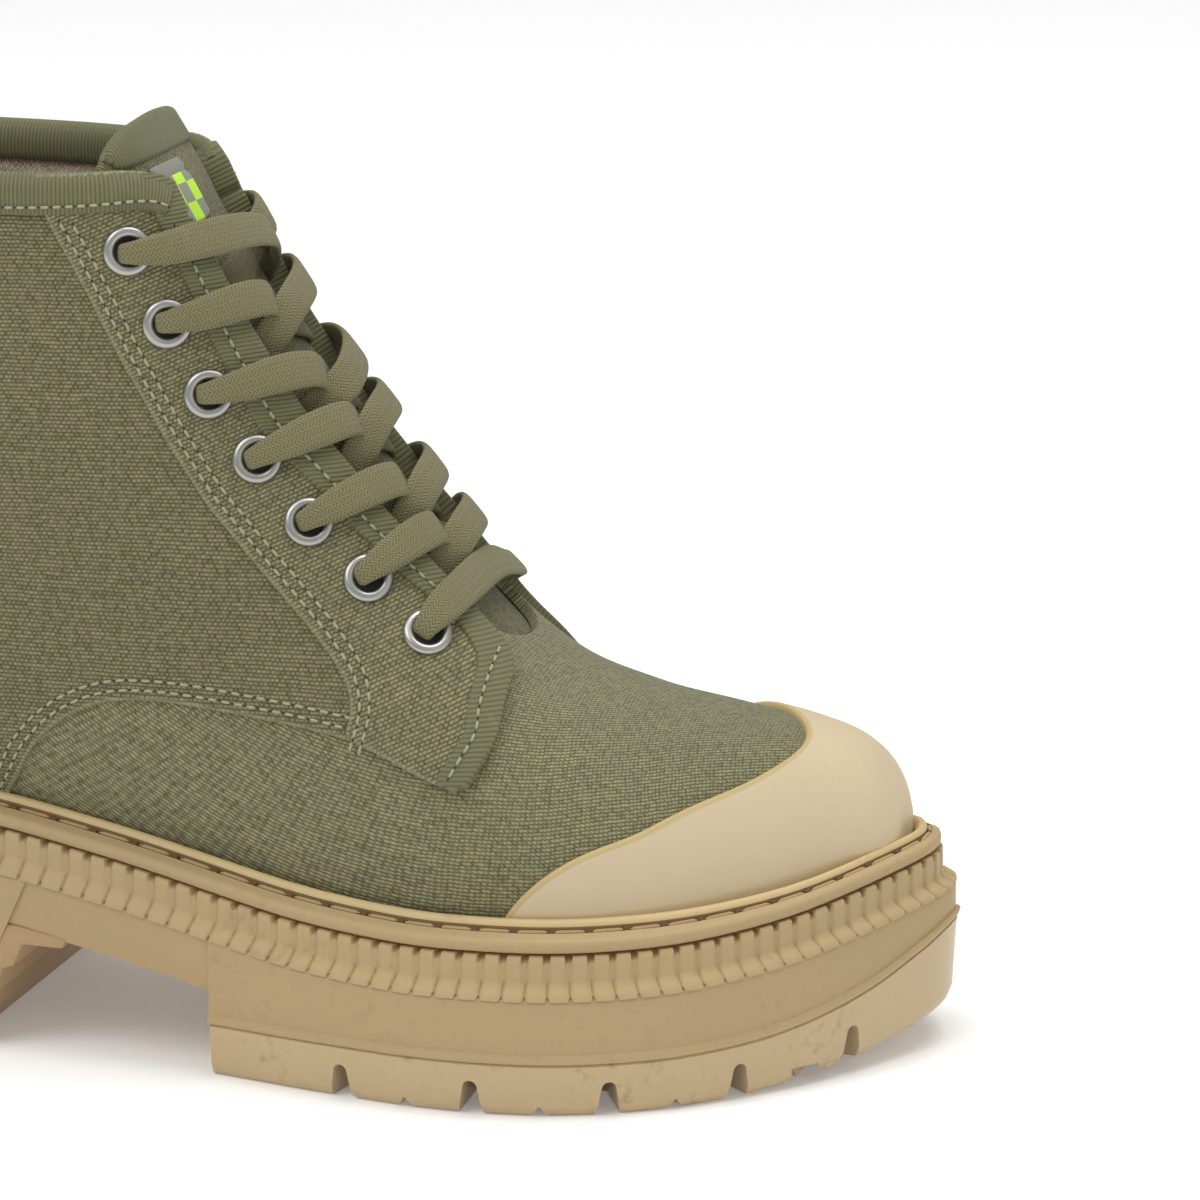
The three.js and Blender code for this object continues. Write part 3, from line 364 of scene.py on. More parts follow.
@dataclass
class Last:
    """The form that the upper follows, worked out from sections along the foot."""

    collar_height: float = 136
    ankle_width: float = 62
    feather_tuck: float = 1.02
    collar_at: float = -0.88
    feather_steps: int = 720

    def __post_init__(self) -> None:
        """Works out the feather line and the curves of the sections."""
        shares = np.arange(self.feather_steps) / self.feather_steps
        self.ring = SOLE.outline(shares, SOLE.feather_inset)
        self.toe = int(np.argmax(self.ring[:, 0]))
        self.heel_x = float(self.ring[0, 0])
        self.foot_length = float(self.ring[self.toe, 0]) - self.heel_x
        self.columns = {name: Column(SECTIONS, name) for name in SectionRow._fields[1:]}
        self.back = Column(BACK_LINE, "back")
        self.back_up = Column(BACK_LINE, "up")
        collar_x = self.heel_x + self.columns["instep"](self.collar_at) * self.foot_length
        self.collar_top = float(SOLE.feather + self.collar_height + SOLE.heel_rise(collar_x))

    def feather_points(self, share: Array, side: int) -> Array:
        """Returns points of the feather line, share 0 at the heel and 1 at the toe."""
        toe = self.toe if side < 0 else self.toe - self.feather_steps
        place = (share * toe) % self.feather_steps
        whole = np.floor(place).astype(int)
        a = self.ring[whole % self.feather_steps]
        b = self.ring[(whole + 1) % self.feather_steps]
        p = blend(a, b, (place - whole)[:, None])
        return np.column_stack([p, SOLE.feather + SOLE.footbed_rise(p[:, 0])])

    def instep_points(self, at: Array) -> Array:
        """Returns the middle of each section's top."""
        x = self.heel_x + self.columns["instep"](at) * self.foot_length
        y = self.ring[self.toe, 1] * smooth_step(at, 0.6, 1)
        z = SOLE.feather + SOLE.footbed_rise(x) + self.columns["up"](at) * self.collar_height
        return np.column_stack([x, y, z])

    def end_points(self, at: Array, side: int) -> Array:
        """Returns the lower end of each section, on the back line or the feather line."""
        end = self.feather_points(np.maximum(at, 0), side)
        shaft = at <= 0
        heel = self.feather_points(np.zeros(1), side)[0]
        end[shaft] = heel
        end[shaft, 0] -= self.back(at[shaft]) * self.foot_length
        end[shaft, 2] += self.back_up(at[shaft]) * (self.collar_top - heel[2])
        return end

    def half_sections(self, at: Array, side: int, count: int) -> Array:
        """Returns half sections from their middle to their end, in steps of equal length."""
        fine = 24
        middle = self.instep_points(at)
        end = self.end_points(at, side)
        foot = np.abs(end[:, 1] - middle[:, 1])
        wide = self.columns["wide"](at) * self.ankle_width
        half = (wide**12 + (foot * self.feather_tuck) ** 12) ** (1 / 12)
        belly = self.columns["belly"](at)
        upright = smooth_step(at, 0.3, 0.7)
        rows = []
        for i in range(2 * fine + 1):
            angle = i * math.pi / 2 / fine
            above = i <= fine
            power = 2 / self.columns["full" if above else "round"](at)
            cos = abs(math.cos(angle)) ** power
            sin = abs(math.sin(angle)) ** power
            down = belly * (1 - cos) if above else belly + (1 - belly) * cos
            p = blend(middle, end, down[:, None])
            p[:, 0] += (end[:, 0] - middle[:, 0]) * upright * down * (1 - down)
            reach = half * sin if above else foot + (half - foot) * sin
            p[:, 1] = middle[:, 1] + side * reach
            rows.append(p)
        rows[0], rows[-1] = middle, end
        lines = np.stack(rows, 1)
        out = np.empty((len(at), count + 1, 3))
        for i, line in enumerate(lines):
            run = np.concatenate([[0], np.cumsum(np.linalg.norm(np.diff(line, axis=0), axis=1))])
            places = np.linspace(0, run[-1], count + 1)
            for k in range(3):
                out[i, :, k] = np.interp(places, run, line[:, k])
        return out

    def surface(self, at: Array, columns: int) -> Array:
        """Returns a grid with a row for each section, from the lateral end to the medial end."""
        lateral = self.half_sections(at, LATERAL, columns)[:, ::-1]
        medial = self.half_sections(at, MEDIAL, columns)
        return np.concatenate([lateral, medial[:, 1:]], 1)


LAST = Last()


class Crease(NamedTuple):
    """A soft fold of the cloth: its two ends in side view, its sides, width and height."""

    start: tuple[float, float]
    end: tuple[float, float]
    sides: tuple[int, ...]
    width: float
    height: float


CREASES = [
    Crease((78, 52), (62, 74), SIDES, 5.0, -0.55),
    Crease((70, 47), (56, 66), SIDES, 4.0, 0.4),
    Crease((92, 58), (74, 80), SIDES, 6.0, -0.35),
    Crease((-8, 78), (18, 92), (LATERAL,), 7.0, -0.5),
    Crease((-14, 90), (8, 106), (LATERAL,), 6.0, 0.45),
    Crease((-62, 88), (-30, 98), SIDES, 9.0, -0.6),
    Crease((-66, 112), (-36, 120), SIDES, 8.0, 0.5),
    Crease((-100, 108), (-72, 96), SIDES, 8.0, -0.7),
    Crease((-58, 150), (-34, 138), (LATERAL,), 7.0, -0.4),
]


@dataclass
class Place:
    """A place on the upper: its row, point and outward normal."""

    row: float
    point: Array
    normal: Array


class Skin:
    """A fine grid on the last that the upper's panels are cut from."""

    def __init__(self, shaft_rows: int, foot_rows: int, columns: int) -> None:
        """Lays out the grid.

        Args:
            shaft_rows: Rows above the heel's lower end. They close on the back line.
            foot_rows: Steps from there to the toe.
            columns: Steps of half a row.
        """
        t = np.arange(foot_rows + 1) / foot_rows
        foot = t - 0.42 * np.sin(2 * math.pi * t) / (2 * math.pi)
        at = np.concatenate([-1 + np.arange(shaft_rows) / shaft_rows, foot])
        self.closed = shaft_rows
        self.middle = columns
        self.points = LAST.surface(at, columns)
        self.normals = self._normals()
        self.points = self.points + self.normals * self._folds()[..., None]
        self.normals = self._normals()
        self.shape = self.points.shape[:2]
        self.side_cloth = self._side_cloth()
        self.over_cloth = self._over_cloth()

    def _normals(self) -> Array:
        """Returns outward normals. Both ends of a closed row share one."""
        p = self.points
        last = p.shape[1] - 1
        before = np.roll(p, 1, axis=1)
        after = np.roll(p, -1, axis=1)
        before[:, 0] = p[:, 0]
        after[:, last] = p[:, last]
        closed = slice(0, self.closed + 1)
        before[closed, 0] = p[closed, last - 1]
        after[closed, last] = p[closed, 1]
        above = np.concatenate([p[:1], p[:-1]])
        below = np.concatenate([p[1:], p[-1:]])
        below[self.closed, [0, last]] = p[self.closed, [0, last]]
        normal = np.cross(below - above, after - before)
        normal[-1] = (1, 0, 0)
        for j in (0, last):
            normal[closed, j, 1] = 0
        return unit(normal)

    def _folds(self) -> Array:
        """Returns how far the cloth's folds lift each point."""
        x, y, z = self.points[..., 0], self.points[..., 1], self.points[..., 2]
        lift = np.zeros_like(x)
        for fold in CREASES:
            start, end = np.array(fold.start), np.array(fold.end)
            run = end - start
            ax, az = x - start[0], z - start[1]
            t = np.clip((ax * run[0] + az * run[1]) / (run @ run), 0, 1)
            away = np.hypot(ax - t * run[0], az - t * run[1])
            taper = np.sin(math.pi * np.clip(t, 0.06, 0.94))
            on_side = np.isin(np.sign(y), fold.sides)
            lift += fold.height * taper * np.exp(-((away / fold.width) ** 2)) * on_side
        return lift

    def _side_cloth(self) -> Array:
        """Returns cloth coordinates that run level round the heel, in millimetres."""
        x, y, z = self.points[..., 0], self.points[..., 1], self.points[..., 2]
        centre, radius = LAST.heel_x + 34.0, 32.0
        round_heel = -radius * (math.pi / 2 - np.arctan2(np.abs(y), centre - x))
        u = np.where(x < centre, round_heel, x - centre)
        return np.stack([u, z], -1)

    def _over_cloth(self) -> Array:
        """Returns cloth coordinates that run along the instep and over it, in millimetres."""
        ridge = self.points[:, self.middle]
        steps = np.linalg.norm(np.diff(ridge, axis=0), axis=1)
        u = np.concatenate([[0], np.cumsum(steps)])
        across = np.linalg.norm(np.diff(self.points, axis=1), axis=2)
        v = np.concatenate([np.zeros((len(u), 1)), np.cumsum(across, axis=1)], 1)
        v -= v[:, self.middle : self.middle + 1]
        return np.stack([np.broadcast_to(u[:, None], v.shape), v], -1)

    def side_place(self, x: float, z: float, side: int) -> Place:
        """Returns the place that a side view shows at (x, z)."""
        first = self.middle + 1 if side > 0 else 0
        part = slice(first, first + self.middle)
        p = self.points[:, part]
        away = np.hypot(p[..., 0] - x, p[..., 2] - z)
        i, j = np.unravel_index(np.argmin(away), away.shape)
        near, normal = p[i, j], self.normals[i, first + j]
        lean = normal[0] * (x - near[0]) + normal[2] * (z - near[2])
        level = normal[1] if abs(normal[1]) > 0.2 else 0.2 * side
        return Place(float(i), np.array([x, near[1] - lean / level, z]), normal)

    def row_place(self, row: float, y: float) -> Place:
        """Returns the place where a row reaches y on its upper half."""
        whole = int(min(max(math.floor(row), 0), self.shape[0] - 2))
        side = 1 if y >= 0 else -1
        found = []
        for i in (whole, whole + 1):
            line = self.points[i, self.middle :: side]
            normals = self.normals[i, self.middle :: side]
            reach = side * line[:, 1]
            k = int(np.argmax(reach >= side * y)) or 1
            t = (side * y - reach[k - 1]) / max(reach[k] - reach[k - 1], 1e-6)
            found.append((blend(line[k - 1], line[k], t), blend(normals[k - 1], normals[k], t)))
        t = row - whole
        point = blend(found[0][0], found[1][0], t)
        return Place(row, point, unit(blend(found[0][1], found[1][1], t)))

    def line_places(self, line: Array, side: int) -> tuple[Array, Array]:
        """Returns points and normals along a line that is drawn in side view."""
        places = [self.side_place(x, z, side) for x, z in line]
        return np.array([p.point for p in places]), np.array([p.normal for p in places])


@dataclass
class Cut:
    """A part of a skin inside an edge: its points, normals, cloth coordinates and faces."""

    points: Array
    normals: Array
    cloth: Array
    faces: Array


def cut_skin(skin: Skin, inside: Array, cloth: Array) -> Cut:
    """Cuts a skin along the line where inside is zero.

    Args:
        skin: The grid to cut.
        inside: For each grid point, its distance to the edge, positive inside.
        cloth: Cloth coordinates of the grid.

    Returns:
        The part inside, with grid points moved onto the edge.
    """
    rows, width = skin.shape
    index = np.arange(rows * width).reshape(rows, width)
    index[: skin.closed + 1, -1] = index[: skin.closed + 1, 0]
    points = skin.points.reshape(-1, 3).copy()
    normals = skin.normals.reshape(-1, 3).copy()
    depth = inside.reshape(-1).copy()
    flat_cloth = np.column_stack([cloth.reshape(-1, 2), depth])
    depth[np.abs(depth) < 1e-6] = 0
    level = np.stack([index[:, :-1].ravel(), index[:, 1:].ravel()], 1)
    upright = np.stack([index[:-1].ravel(), index[1:].ravel()], 1)
    edges = np.concatenate([level, upright])
    a, b = edges[:, 0], edges[:, 1]
    crossing = depth[a] * depth[b] < 0
    a, b = a[crossing], b[crossing]
    t = depth[a] / (depth[a] - depth[b])
    mover = np.where(t < 0.5, a, b)
    other = np.where(t < 0.5, b, a)
    shift = np.minimum(t, 1 - t)
    order = np.argsort(-shift)
    mover, other, shift = mover[order], other[order], shift[order, None]
    for values in (points, normals, flat_cloth):
        values[mover] = blend(values[mover], values[other], shift)
    depth[mover] = 0
    sign = np.sign(depth)
    ca, cb = index[:-1, :-1].ravel(), index[1:, :-1].ravel()
    cc, cd = index[1:, 1:].ravel(), index[:-1, 1:].ravel()
    other_way = sign[ca] * sign[cc] < 0
    first = np.where(other_way[:, None], np.stack([ca, cb, cd], 1), np.stack([ca, cb, cc], 1))
    second = np.where(other_way[:, None], np.stack([cb, cc, cd], 1), np.stack([ca, cc, cd], 1))
    faces = np.concatenate([first, second])
    inside_faces = (sign[faces].min(1) >= 0) & (sign[faces].max(1) > 0)
    faces = faces[inside_faces]
    side_a = points[faces[:, 1]] - points[faces[:, 0]]
    side_b = points[faces[:, 2]] - points[faces[:, 0]]
    area = np.linalg.norm(np.cross(side_a, side_b), axis=1)
    faces = faces[area > 1e-5]
    used, compact = np.unique(faces, return_inverse=True)
    faces = compact.reshape(-1, 3)
    return Cut(points[used], unit(normals[used]), flat_cloth[used], faces)


def softened(inside: Array, rounds: int, reach: float = 12.0) -> Array:
    """Smooths small bends of an edge away.

    Args:
        inside: Distances to the edge at each point of a grid.
        rounds: How often each point moves half way to the middle of its neighbours.
        reach: Distances beyond this are cut off first.

    Returns:
        The smoothed distances.
    """
    smooth = np.clip(inside, -reach, reach)
    for _ in range(rounds):
        padded = np.pad(smooth, 1, mode="edge")
        around = padded[:-2, 1:-1] + padded[2:, 1:-1] + padded[1:-1, :-2] + padded[1:-1, 2:]
        smooth = around / 8 + smooth / 2
    return smooth


def rim_of(cut: Cut) -> tuple[Array, Array]:
    """Returns the directed edges round a cut and, for each point, the way out of it."""
    faces = cut.faces
    edges = np.concatenate([faces[:, [0, 1]], faces[:, [1, 2]], faces[:, [2, 0]]])
    size = len(cut.points)
    forward = edges[:, 0] * size + edges[:, 1]
    backward = edges[:, 1] * size + edges[:, 0]
    rim = edges[~np.isin(forward, backward)]
    out = np.zeros_like(cut.points)
    run = cut.points[rim[:, 1]] - cut.points[rim[:, 0]]
    away = unit(np.cross(run, cut.normals[rim[:, 0]]))
    np.add.at(out, rim[:, 0], away)
    np.add.at(out, rim[:, 1], away)
    return rim, unit(out)


class Piece:
    """Points, faces and cloth coordinates that become one object of the boot."""

    def __init__(self) -> None:
        """Starts an empty piece."""
        self.points: list[Array] = []
        self.cloth: list[Array] = []
        self.faces: list[Array] = []
        self.slots: list[Array] = []
        self.count = 0

    def add(self, points: Array, faces: Array, cloth: Array | None = None, slot: int = 0) -> None:
        """Adds points and triangles.

        Args:
            points: Points in millimetres.
            faces: Triangles as rows of three point numbers.
            cloth: Cloth coordinates of the points, and their distance from the edge if known.
            slot: Which of the piece's finishes the triangles take.
        """
        if cloth is None:
            cloth = points[:, :2]
        if cloth.shape[1] == 2:
            cloth = np.column_stack([cloth, np.full(len(cloth), 9.0)])
        self.points.append(points)
        self.cloth.append(cloth)
        self.faces.append(faces + self.count)
        self.slots.append(np.full(len(faces), slot))
        self.count += len(points)

    def finish(self, name: str, materials: list, sharp: float = 50.0) -> bpy.types.Object:
        """Makes the object.

        Args:
            name: The object's name.
            materials: Its finishes, one for each slot.
            sharp: Edges that turn by more degrees than this stay sharp.

        Returns:
            The new object, in place.
        """
        points = (np.concatenate(self.points) + ORIGIN_SHIFT) * MM
        faces = np.concatenate(self.faces)
        cloth = np.concatenate(self.cloth)
        mesh = bpy.data.meshes.new(name)
        mesh.from_pydata(points.tolist(), [], faces.tolist())
        corners = np.empty(len(mesh.loops), np.int32)
        mesh.loops.foreach_get("vertex_index", corners)
        for label, columns in (("cloth", (0, 1)), ("edge", (2, 2))):
            layer = mesh.uv_layers.new(name=label)
            layer.data.foreach_set("uv", cloth[corners][:, columns].astype(np.float32).ravel())
        for material in materials:
            mesh.materials.append(material)
        mesh.polygons.foreach_set("material_index", np.concatenate(self.slots).astype(np.int32))
        mesh.polygons.foreach_set("use_smooth", np.ones(len(faces), bool))
        mesh.update()
        piece = bpy.data.objects.new(name, mesh)
        bpy.context.scene.collection.objects.link(piece)
        sharpen(piece, sharp)
        return piece


# From the last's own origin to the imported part's, in millimetres.
ORIGIN_SHIFT = np.array([0.128, 1.047, 0.0])


def select_only(piece: bpy.types.Object) -> None:
    """Makes a piece the only selected and the active object."""
    bpy.ops.object.select_all(action="DESELECT")
    piece.select_set(True)
    bpy.context.view_layer.objects.active = piece


def sharpen(piece: bpy.types.Object, degrees: float) -> None:
    """Shades a piece smooth except at edges that turn by more than degrees."""
    select_only(piece)
    bpy.ops.object.shade_smooth_by_angle(angle=math.radians(degrees))


def panel(piece: Piece, cut: Cut, top: float, bottom: float, radius: float, lined: bool = False) -> None:
    """Adds a closed panel over a cut of the skin, with a rounded edge.

    Args:
        piece: The piece that the panel joins.
        cut: Where the panel lies.
        top: Height of its outer face above the last.
        bottom: Height of its inner face.
        radius: Rounding of its outer edge. The edge stands out by as much.
        lined: Whether its inner face takes the piece's second finish.
    """
    rim, out = rim_of(cut)
    size = len(cut.points)
    high = np.full((size, 1), float(top))
    onto = np.unique(rim)
    place = np.full(size, -1)
    place[onto] = np.arange(len(onto))
    rings = []
    for angle in (30, 60, 90):
        turn = math.radians(angle)
        lift = high[onto] - radius * (1 - math.cos(turn))
        rings.append(cut.points[onto] + out[onto] * radius * math.sin(turn) + cut.normals[onto] * lift)
    under = cut.points + cut.normals * bottom
    under[onto] += out[onto] * radius
    points = np.concatenate([cut.points + cut.normals * high, under, *rings])
    faces = [cut.faces, cut.faces[:, ::-1] + size]
    first = 2 * size
    levels = [lambda v: v]
    levels += [lambda v, k=k: first + k * len(onto) + place[v] for k in range(len(rings))]
    levels.append(lambda v: size + v)
    for upper, lower in zip(levels, levels[1:]):
        a, b = upper(rim[:, 0]), upper(rim[:, 1])
        c, d = lower(rim[:, 0]), lower(rim[:, 1])
        faces += [np.stack([b, a, c], 1), np.stack([b, c, d], 1)]
    cloth = np.concatenate([cut.cloth, cut.cloth, *[cut.cloth[onto]] * len(rings)])
    piece.add(points, np.concatenate(faces), cloth)
    if lined:
        size = len(cut.faces)
        piece.slots[-1][size : 2 * size] = 1


@dataclass(frozen=True)
class UpperSizes:
    """Sizes of the upper's panels and openings, in millimetres."""

    wall: float = 2.2
    quarter_step: float = 0.9
    overlay: float = 0.9
    cap: float = 1.3
    binding_depth: float = 7.5
    throat_binding: float = 4.8
    throat_width: float = 29
    throat_end: float = 58
    tongue_top: float = -2.5
    tongue_wall: float = 3
    tape_lift: float = 0.75
    tongue_width: float = 50
    tongue_depth: float = 27
    tongue_lap: float = 8
    tongue_rise: float = 13
    collar_round: float = 10
    cap_blend: float = 4
    flap_round: float = 13

    @property
    def eyestay_top(self) -> float:
        """Returns the height of the eyestays' face above the last."""
        return self.quarter_step + self.overlay

    @property
    def tape_top(self) -> float:
        """Returns the height of the throat tape's face above the last."""
        return self.eyestay_top + self.tape_lift


UPPER = UpperSizes()
FAR = 400.0


class SeamPoint(NamedTuple):
    """A point of a seam in side view: shares of the foot's length and the collar height."""

    along: float
    up: float


class CapPoint(NamedTuple):
    """A point of the toe cap's edge in plan: shares of the ball width and the foot's length."""

    across: float
    along: float


EYESTAY_SEAM = [
    SeamPoint(*row)
    for row in (
        (0.33, 1.1), (0.348, 1.0), (0.367, 0.916), (0.396, 0.82), (0.427, 0.715),
        (0.482, 0.564), (0.515, 0.507), (0.557, 0.438), (0.592, 0.377), (0.612, 0.334),
        (0.618, 0.296), (0.614, 0.252),
    )
]
QUARTER_EDGE = [
    SeamPoint(*row)
    for row in (
        (0.32, -0.122), (0.324, 0.026), (0.336, 0.07), (0.348, 0.115), (0.375, 0.176),
        (0.41, 0.222), (0.45, 0.246), (0.548, 0.264), (0.614, 0.262),
    )
]
FLAP_FOOT = [SeamPoint(*row) for row in ((0.614, 0.262), (0.64, 0.25), (0.681, 0.224), (0.708, 0.208))]
FLAP_FRONT = [
    SeamPoint(*row)
    for row in (
        (0.712, 0.212), (0.719, 0.239), (0.726, 0.276), (0.724, 0.322), (0.723, 0.376),
        (0.723, 0.6),
    )
]
EYELET_LINE = [
    SeamPoint(*row)
    for row in (
        (0.424, 0.883), (0.486, 0.698), (0.567, 0.542), (0.666, 0.4),
    )
]
CAP_SIDE = [
    SeamPoint(*row)
    for row in (
        (0.72, -0.08), (0.75, 0.046), (0.7704, 0.084), (0.7914, 0.115), (0.8112, 0.131),
        (0.843, 0.143),
    )
]
CAP_TOP = [
    CapPoint(*row)
    for row in (
        (-0.252, 0.843), (-0.174, 0.874), (-0.105, 0.898), (-0.021, 0.92), (0.052, 0.933),
        (0.101, 0.932), (0.17, 0.915), (0.262, 0.872), (0.336, 0.825),
    )
]


def side_point(point: SeamPoint) -> tuple[float, float]:
    """Returns a seam point's (x, z)."""
    x = LAST.heel_x + point.along * LAST.foot_length
    return x, float(SOLE.feather + SOLE.footbed_rise(x) + point.up * LAST.collar_height)


def side_line(points: list[SeamPoint], steps: int = 6) -> Array:
    """Returns a smooth seam in side view."""
    return rounded_line([side_point(p) for p in points], steps)


class Edges:
    """Distances to the upper's edges and seams at each point of a skin, positive inside."""

    def __init__(self, skin: Skin) -> None:
        """Keeps the skin's points in side view and in plan."""
        self.x, self.y, self.z = (skin.points[..., k] for k in range(3))
        self.side = np.stack([self.x.ravel(), self.z.ravel()], 1)
        self.plan = np.stack([self.x.ravel(), self.y.ravel()], 1)
        self.shape = skin.shape
        self.skin = skin

    def in_side_view(self, outline: Array) -> Array:
        """Returns distances to an outline that is drawn in side view."""
        return distance_inside(self.side, outline).reshape(self.shape)

    def in_plan(self, outline: Array) -> Array:
        """Returns distances to an outline that is drawn in plan."""
        return distance_inside(self.plan, outline).reshape(self.shape)

    def collar(self, drop: float = 0.0) -> Array:
        """Returns distances below the collar's edge, which is moved down by drop."""
        return self.in_side_view(below_collar(drop))

    def throat(self, widening: float = 0.0) -> Array:
        """Returns distances from the throat's edge, outside it."""
        half = UPPER.throat_width / 2 + widening
        centre = UPPER.throat_end - 0.7 * half
        ahead = np.maximum(self.x - centre, 0) / 0.7
        behind = LAST.heel_x + LAST.foot_length / 4 - self.x
        return np.maximum(np.hypot(self.y, ahead) - half, behind)

    def quarters(self) -> Array:
        """Returns distances inside the quarters."""
        front = side_line(FLAP_FRONT)
        beyond = [(front[-1, 0], FAR), (-FAR, FAR), (-FAR, -FAR)]
        outline = np.concatenate([side_line(QUARTER_EDGE), side_line(FLAP_FOOT), front, beyond])
        return self.in_side_view(outline)

    def eyestays(self) -> Array:
        """Returns distances inside the eyestays, throat left in."""
        seam, front = side_line(EYESTAY_SEAM), side_line(FLAP_FRONT)
        beyond = [(front[-1, 0], FAR), (seam[0, 0], FAR)]
        outline = np.concatenate([seam, side_line(FLAP_FOOT), front, beyond])
        return self.in_side_view(outline)

    def toe_cap(self) -> Array:
        """Returns distances inside the toe cap."""
        sides = side_line(CAP_SIDE)
        plan = [(LAST.heel_x + p.along * LAST.foot_length, p.across * SOLE.ball_width) for p in CAP_TOP]
        lateral = self.skin.side_place(*sides[-1], LATERAL).point
        inner = sides[np.argmin(np.abs(sides[:, 0] - plan[-1][0]))]
        medial = self.skin.side_place(*inner, MEDIAL).point
        over = rounded_line([tuple(lateral[:2]), *plan[1:-1], tuple(medial[:2])])
        ahead = [(over[-1, 0], FAR), (FAR, FAR), (FAR, -FAR), (over[0, 0], -FAR)]
        below = np.concatenate([sides, [(over[0, 0], 0), (sides[0, 0], 0)]])
        top, side = self.in_plan(np.concatenate([over, ahead])), self.in_side_view(below)
        near = np.maximum(1 - np.abs(top - side) / UPPER.cap_blend, 0)
        return np.maximum(top, side) + UPPER.cap_blend / 4 * near**2

    def tongue(self) -> Array:
        """Returns distances inside the tongue."""
        rear = LAST.instep_points(np.array([-1, -0.5, 0, 0.3, 0.5]))[:, [0, 2]]
        rear = rear - UPPER.tongue_depth * np.array([0.77, 0.64])
        end = UPPER.throat_end + UPPER.tongue_lap
        outline = np.concatenate([rear, [(end, SOLE.feather), (end, LAST.collar_top)], tongue_top_line()])
        round_side = UPPER.tongue_width / 2 - np.abs(self.y)
        flat = self.in_side_view(outline)
        radius = 9.0
        corner = radius - np.hypot(np.maximum(radius - round_side, 0), np.maximum(radius - flat, 0))
        return softened(np.minimum(np.minimum(round_side, flat), corner), 50)


def below_collar(drop: float) -> Array:
    """Returns the outline in side view of all that lies below the collar's edge."""
    front = float(LAST.instep_points(np.array([LAST.collar_at]))[0, 0]) + UPPER.collar_round / 4
    top = LAST.collar_top - drop
    radius = UPPER.collar_round
    angles = np.linspace(0, math.pi / 2, 7)
    arc = np.stack([front + radius * (np.sin(angles) - 1), top + radius * (np.cos(angles) - 1)], 1)
    return np.concatenate([[(-FAR, top)], arc, [(FAR, top - radius), (FAR, -FAR), (-FAR, -FAR)]])


def tongue_top_line() -> list[tuple[float, float]]:
    """Returns the tongue's sloping top edge in side view, front end first."""
    x = float(LAST.instep_points(np.array([LAST.collar_at]))[0, 0])
    z = LAST.collar_top + UPPER.tongue_rise
    reach = UPPER.tongue_depth
    return [(x + reach, z + reach / 2), (x - reach, z - reach / 2)]


def outward(points: Array, faces: Array) -> Array:
    """Returns a closed surface's faces turned so that they face outwards."""
    a, b, c = (points[faces[:, k]] for k in range(3))
    volume = np.einsum("ij,ij->i", a, np.cross(b, c)).sum()
    return faces if volume >= 0 else faces[:, ::-1]


def sweep(piece: Piece, path: Array, across: Array, up: Array, section: Array, slot: int = 0) -> None:
    """Adds a closed strip with one section all along a path.

    Args:
        piece: The piece that the strip joins.
        path: The middle of the strip at each step.
        across: The section's first direction at each step.
        up: The section's second direction at each step.
        section: The section's corners, for each step or once for all of them.
        slot: Which finish it takes.
    """
    steps = len(path)
    section = np.broadcast_to(section, (steps, *section.shape[-2:]))
    width = section.shape[1]
    points = path[:, None] + across[:, None] * section[..., :1] + up[:, None] * section[..., 1:]
    run = np.concatenate([[0], np.cumsum(np.linalg.norm(np.diff(path, axis=0), axis=1))])
    cloth = np.stack([section[..., 0], np.broadcast_to(run[:, None], section.shape[:2])], -1)
    a = (np.arange(steps - 1)[:, None] * width + np.arange(width)).ravel()
    b = (np.arange(steps - 1)[:, None] * width + (np.arange(width) + 1) % width).ravel()
    sides = np.concatenate([np.stack([a, b, b + width], 1), np.stack([a, b + width, a + width], 1)])
    ends = []
    for first, centre in ((0, steps * width), ((steps - 1) * width, steps * width + 1)):
        rim = first + np.arange(width)
        fan = np.stack([np.full(width, centre), np.roll(rim, -1), rim], 1)
        ends.append(fan if first == 0 else fan[:, ::-1])
    flat = points.reshape(-1, 3)
    centres = np.stack([points[0].mean(0), points[-1].mean(0)])
    flat = np.concatenate([flat, centres])
    cloth = np.concatenate([cloth.reshape(-1, 2), [[0, 0], [0, run[-1]]]])
    faces = np.concatenate([sides, *ends])
    piece.add(flat, outward(flat, faces), cloth, slot)


def ring_faces(count: int, low: int, high: int) -> list[Array]:
    """Returns the faces between two rings of count points that start at low and at high."""
    i = np.arange(count)
    after = (i + 1) % count
    return [
        np.stack([low + i, low + after, high + after], 1),
        np.stack([low + i, high + after, high + i], 1),
    ]


def loop_sweep(piece: Piece, rings: list[Array], slots: list[int], run: Array) -> None:
    """Adds a closed band from rings that follow one another round its section.

    Args:
        piece: The piece that the band joins.
        rings: Rings of points. The band returns from the last to the first.
        slots: The finish from each ring to the next.
        run: Each point's way round the ring, in millimetres.
    """
    count = len(rings[0])
    points = np.concatenate(rings)
    faces, kinds = [], []
    for k in range(len(rings)):
        faces += ring_faces(count, k * count, (k + 1) % len(rings) * count)
        kinds += [np.full(2 * count, slots[k])]
    all_faces = outward(points, np.concatenate(faces))
    cloth = np.stack([np.tile(run, len(rings)), points[:, 2]], 1)
    piece.add(points, all_faces, cloth)
    piece.slots[-1] = np.concatenate(kinds)


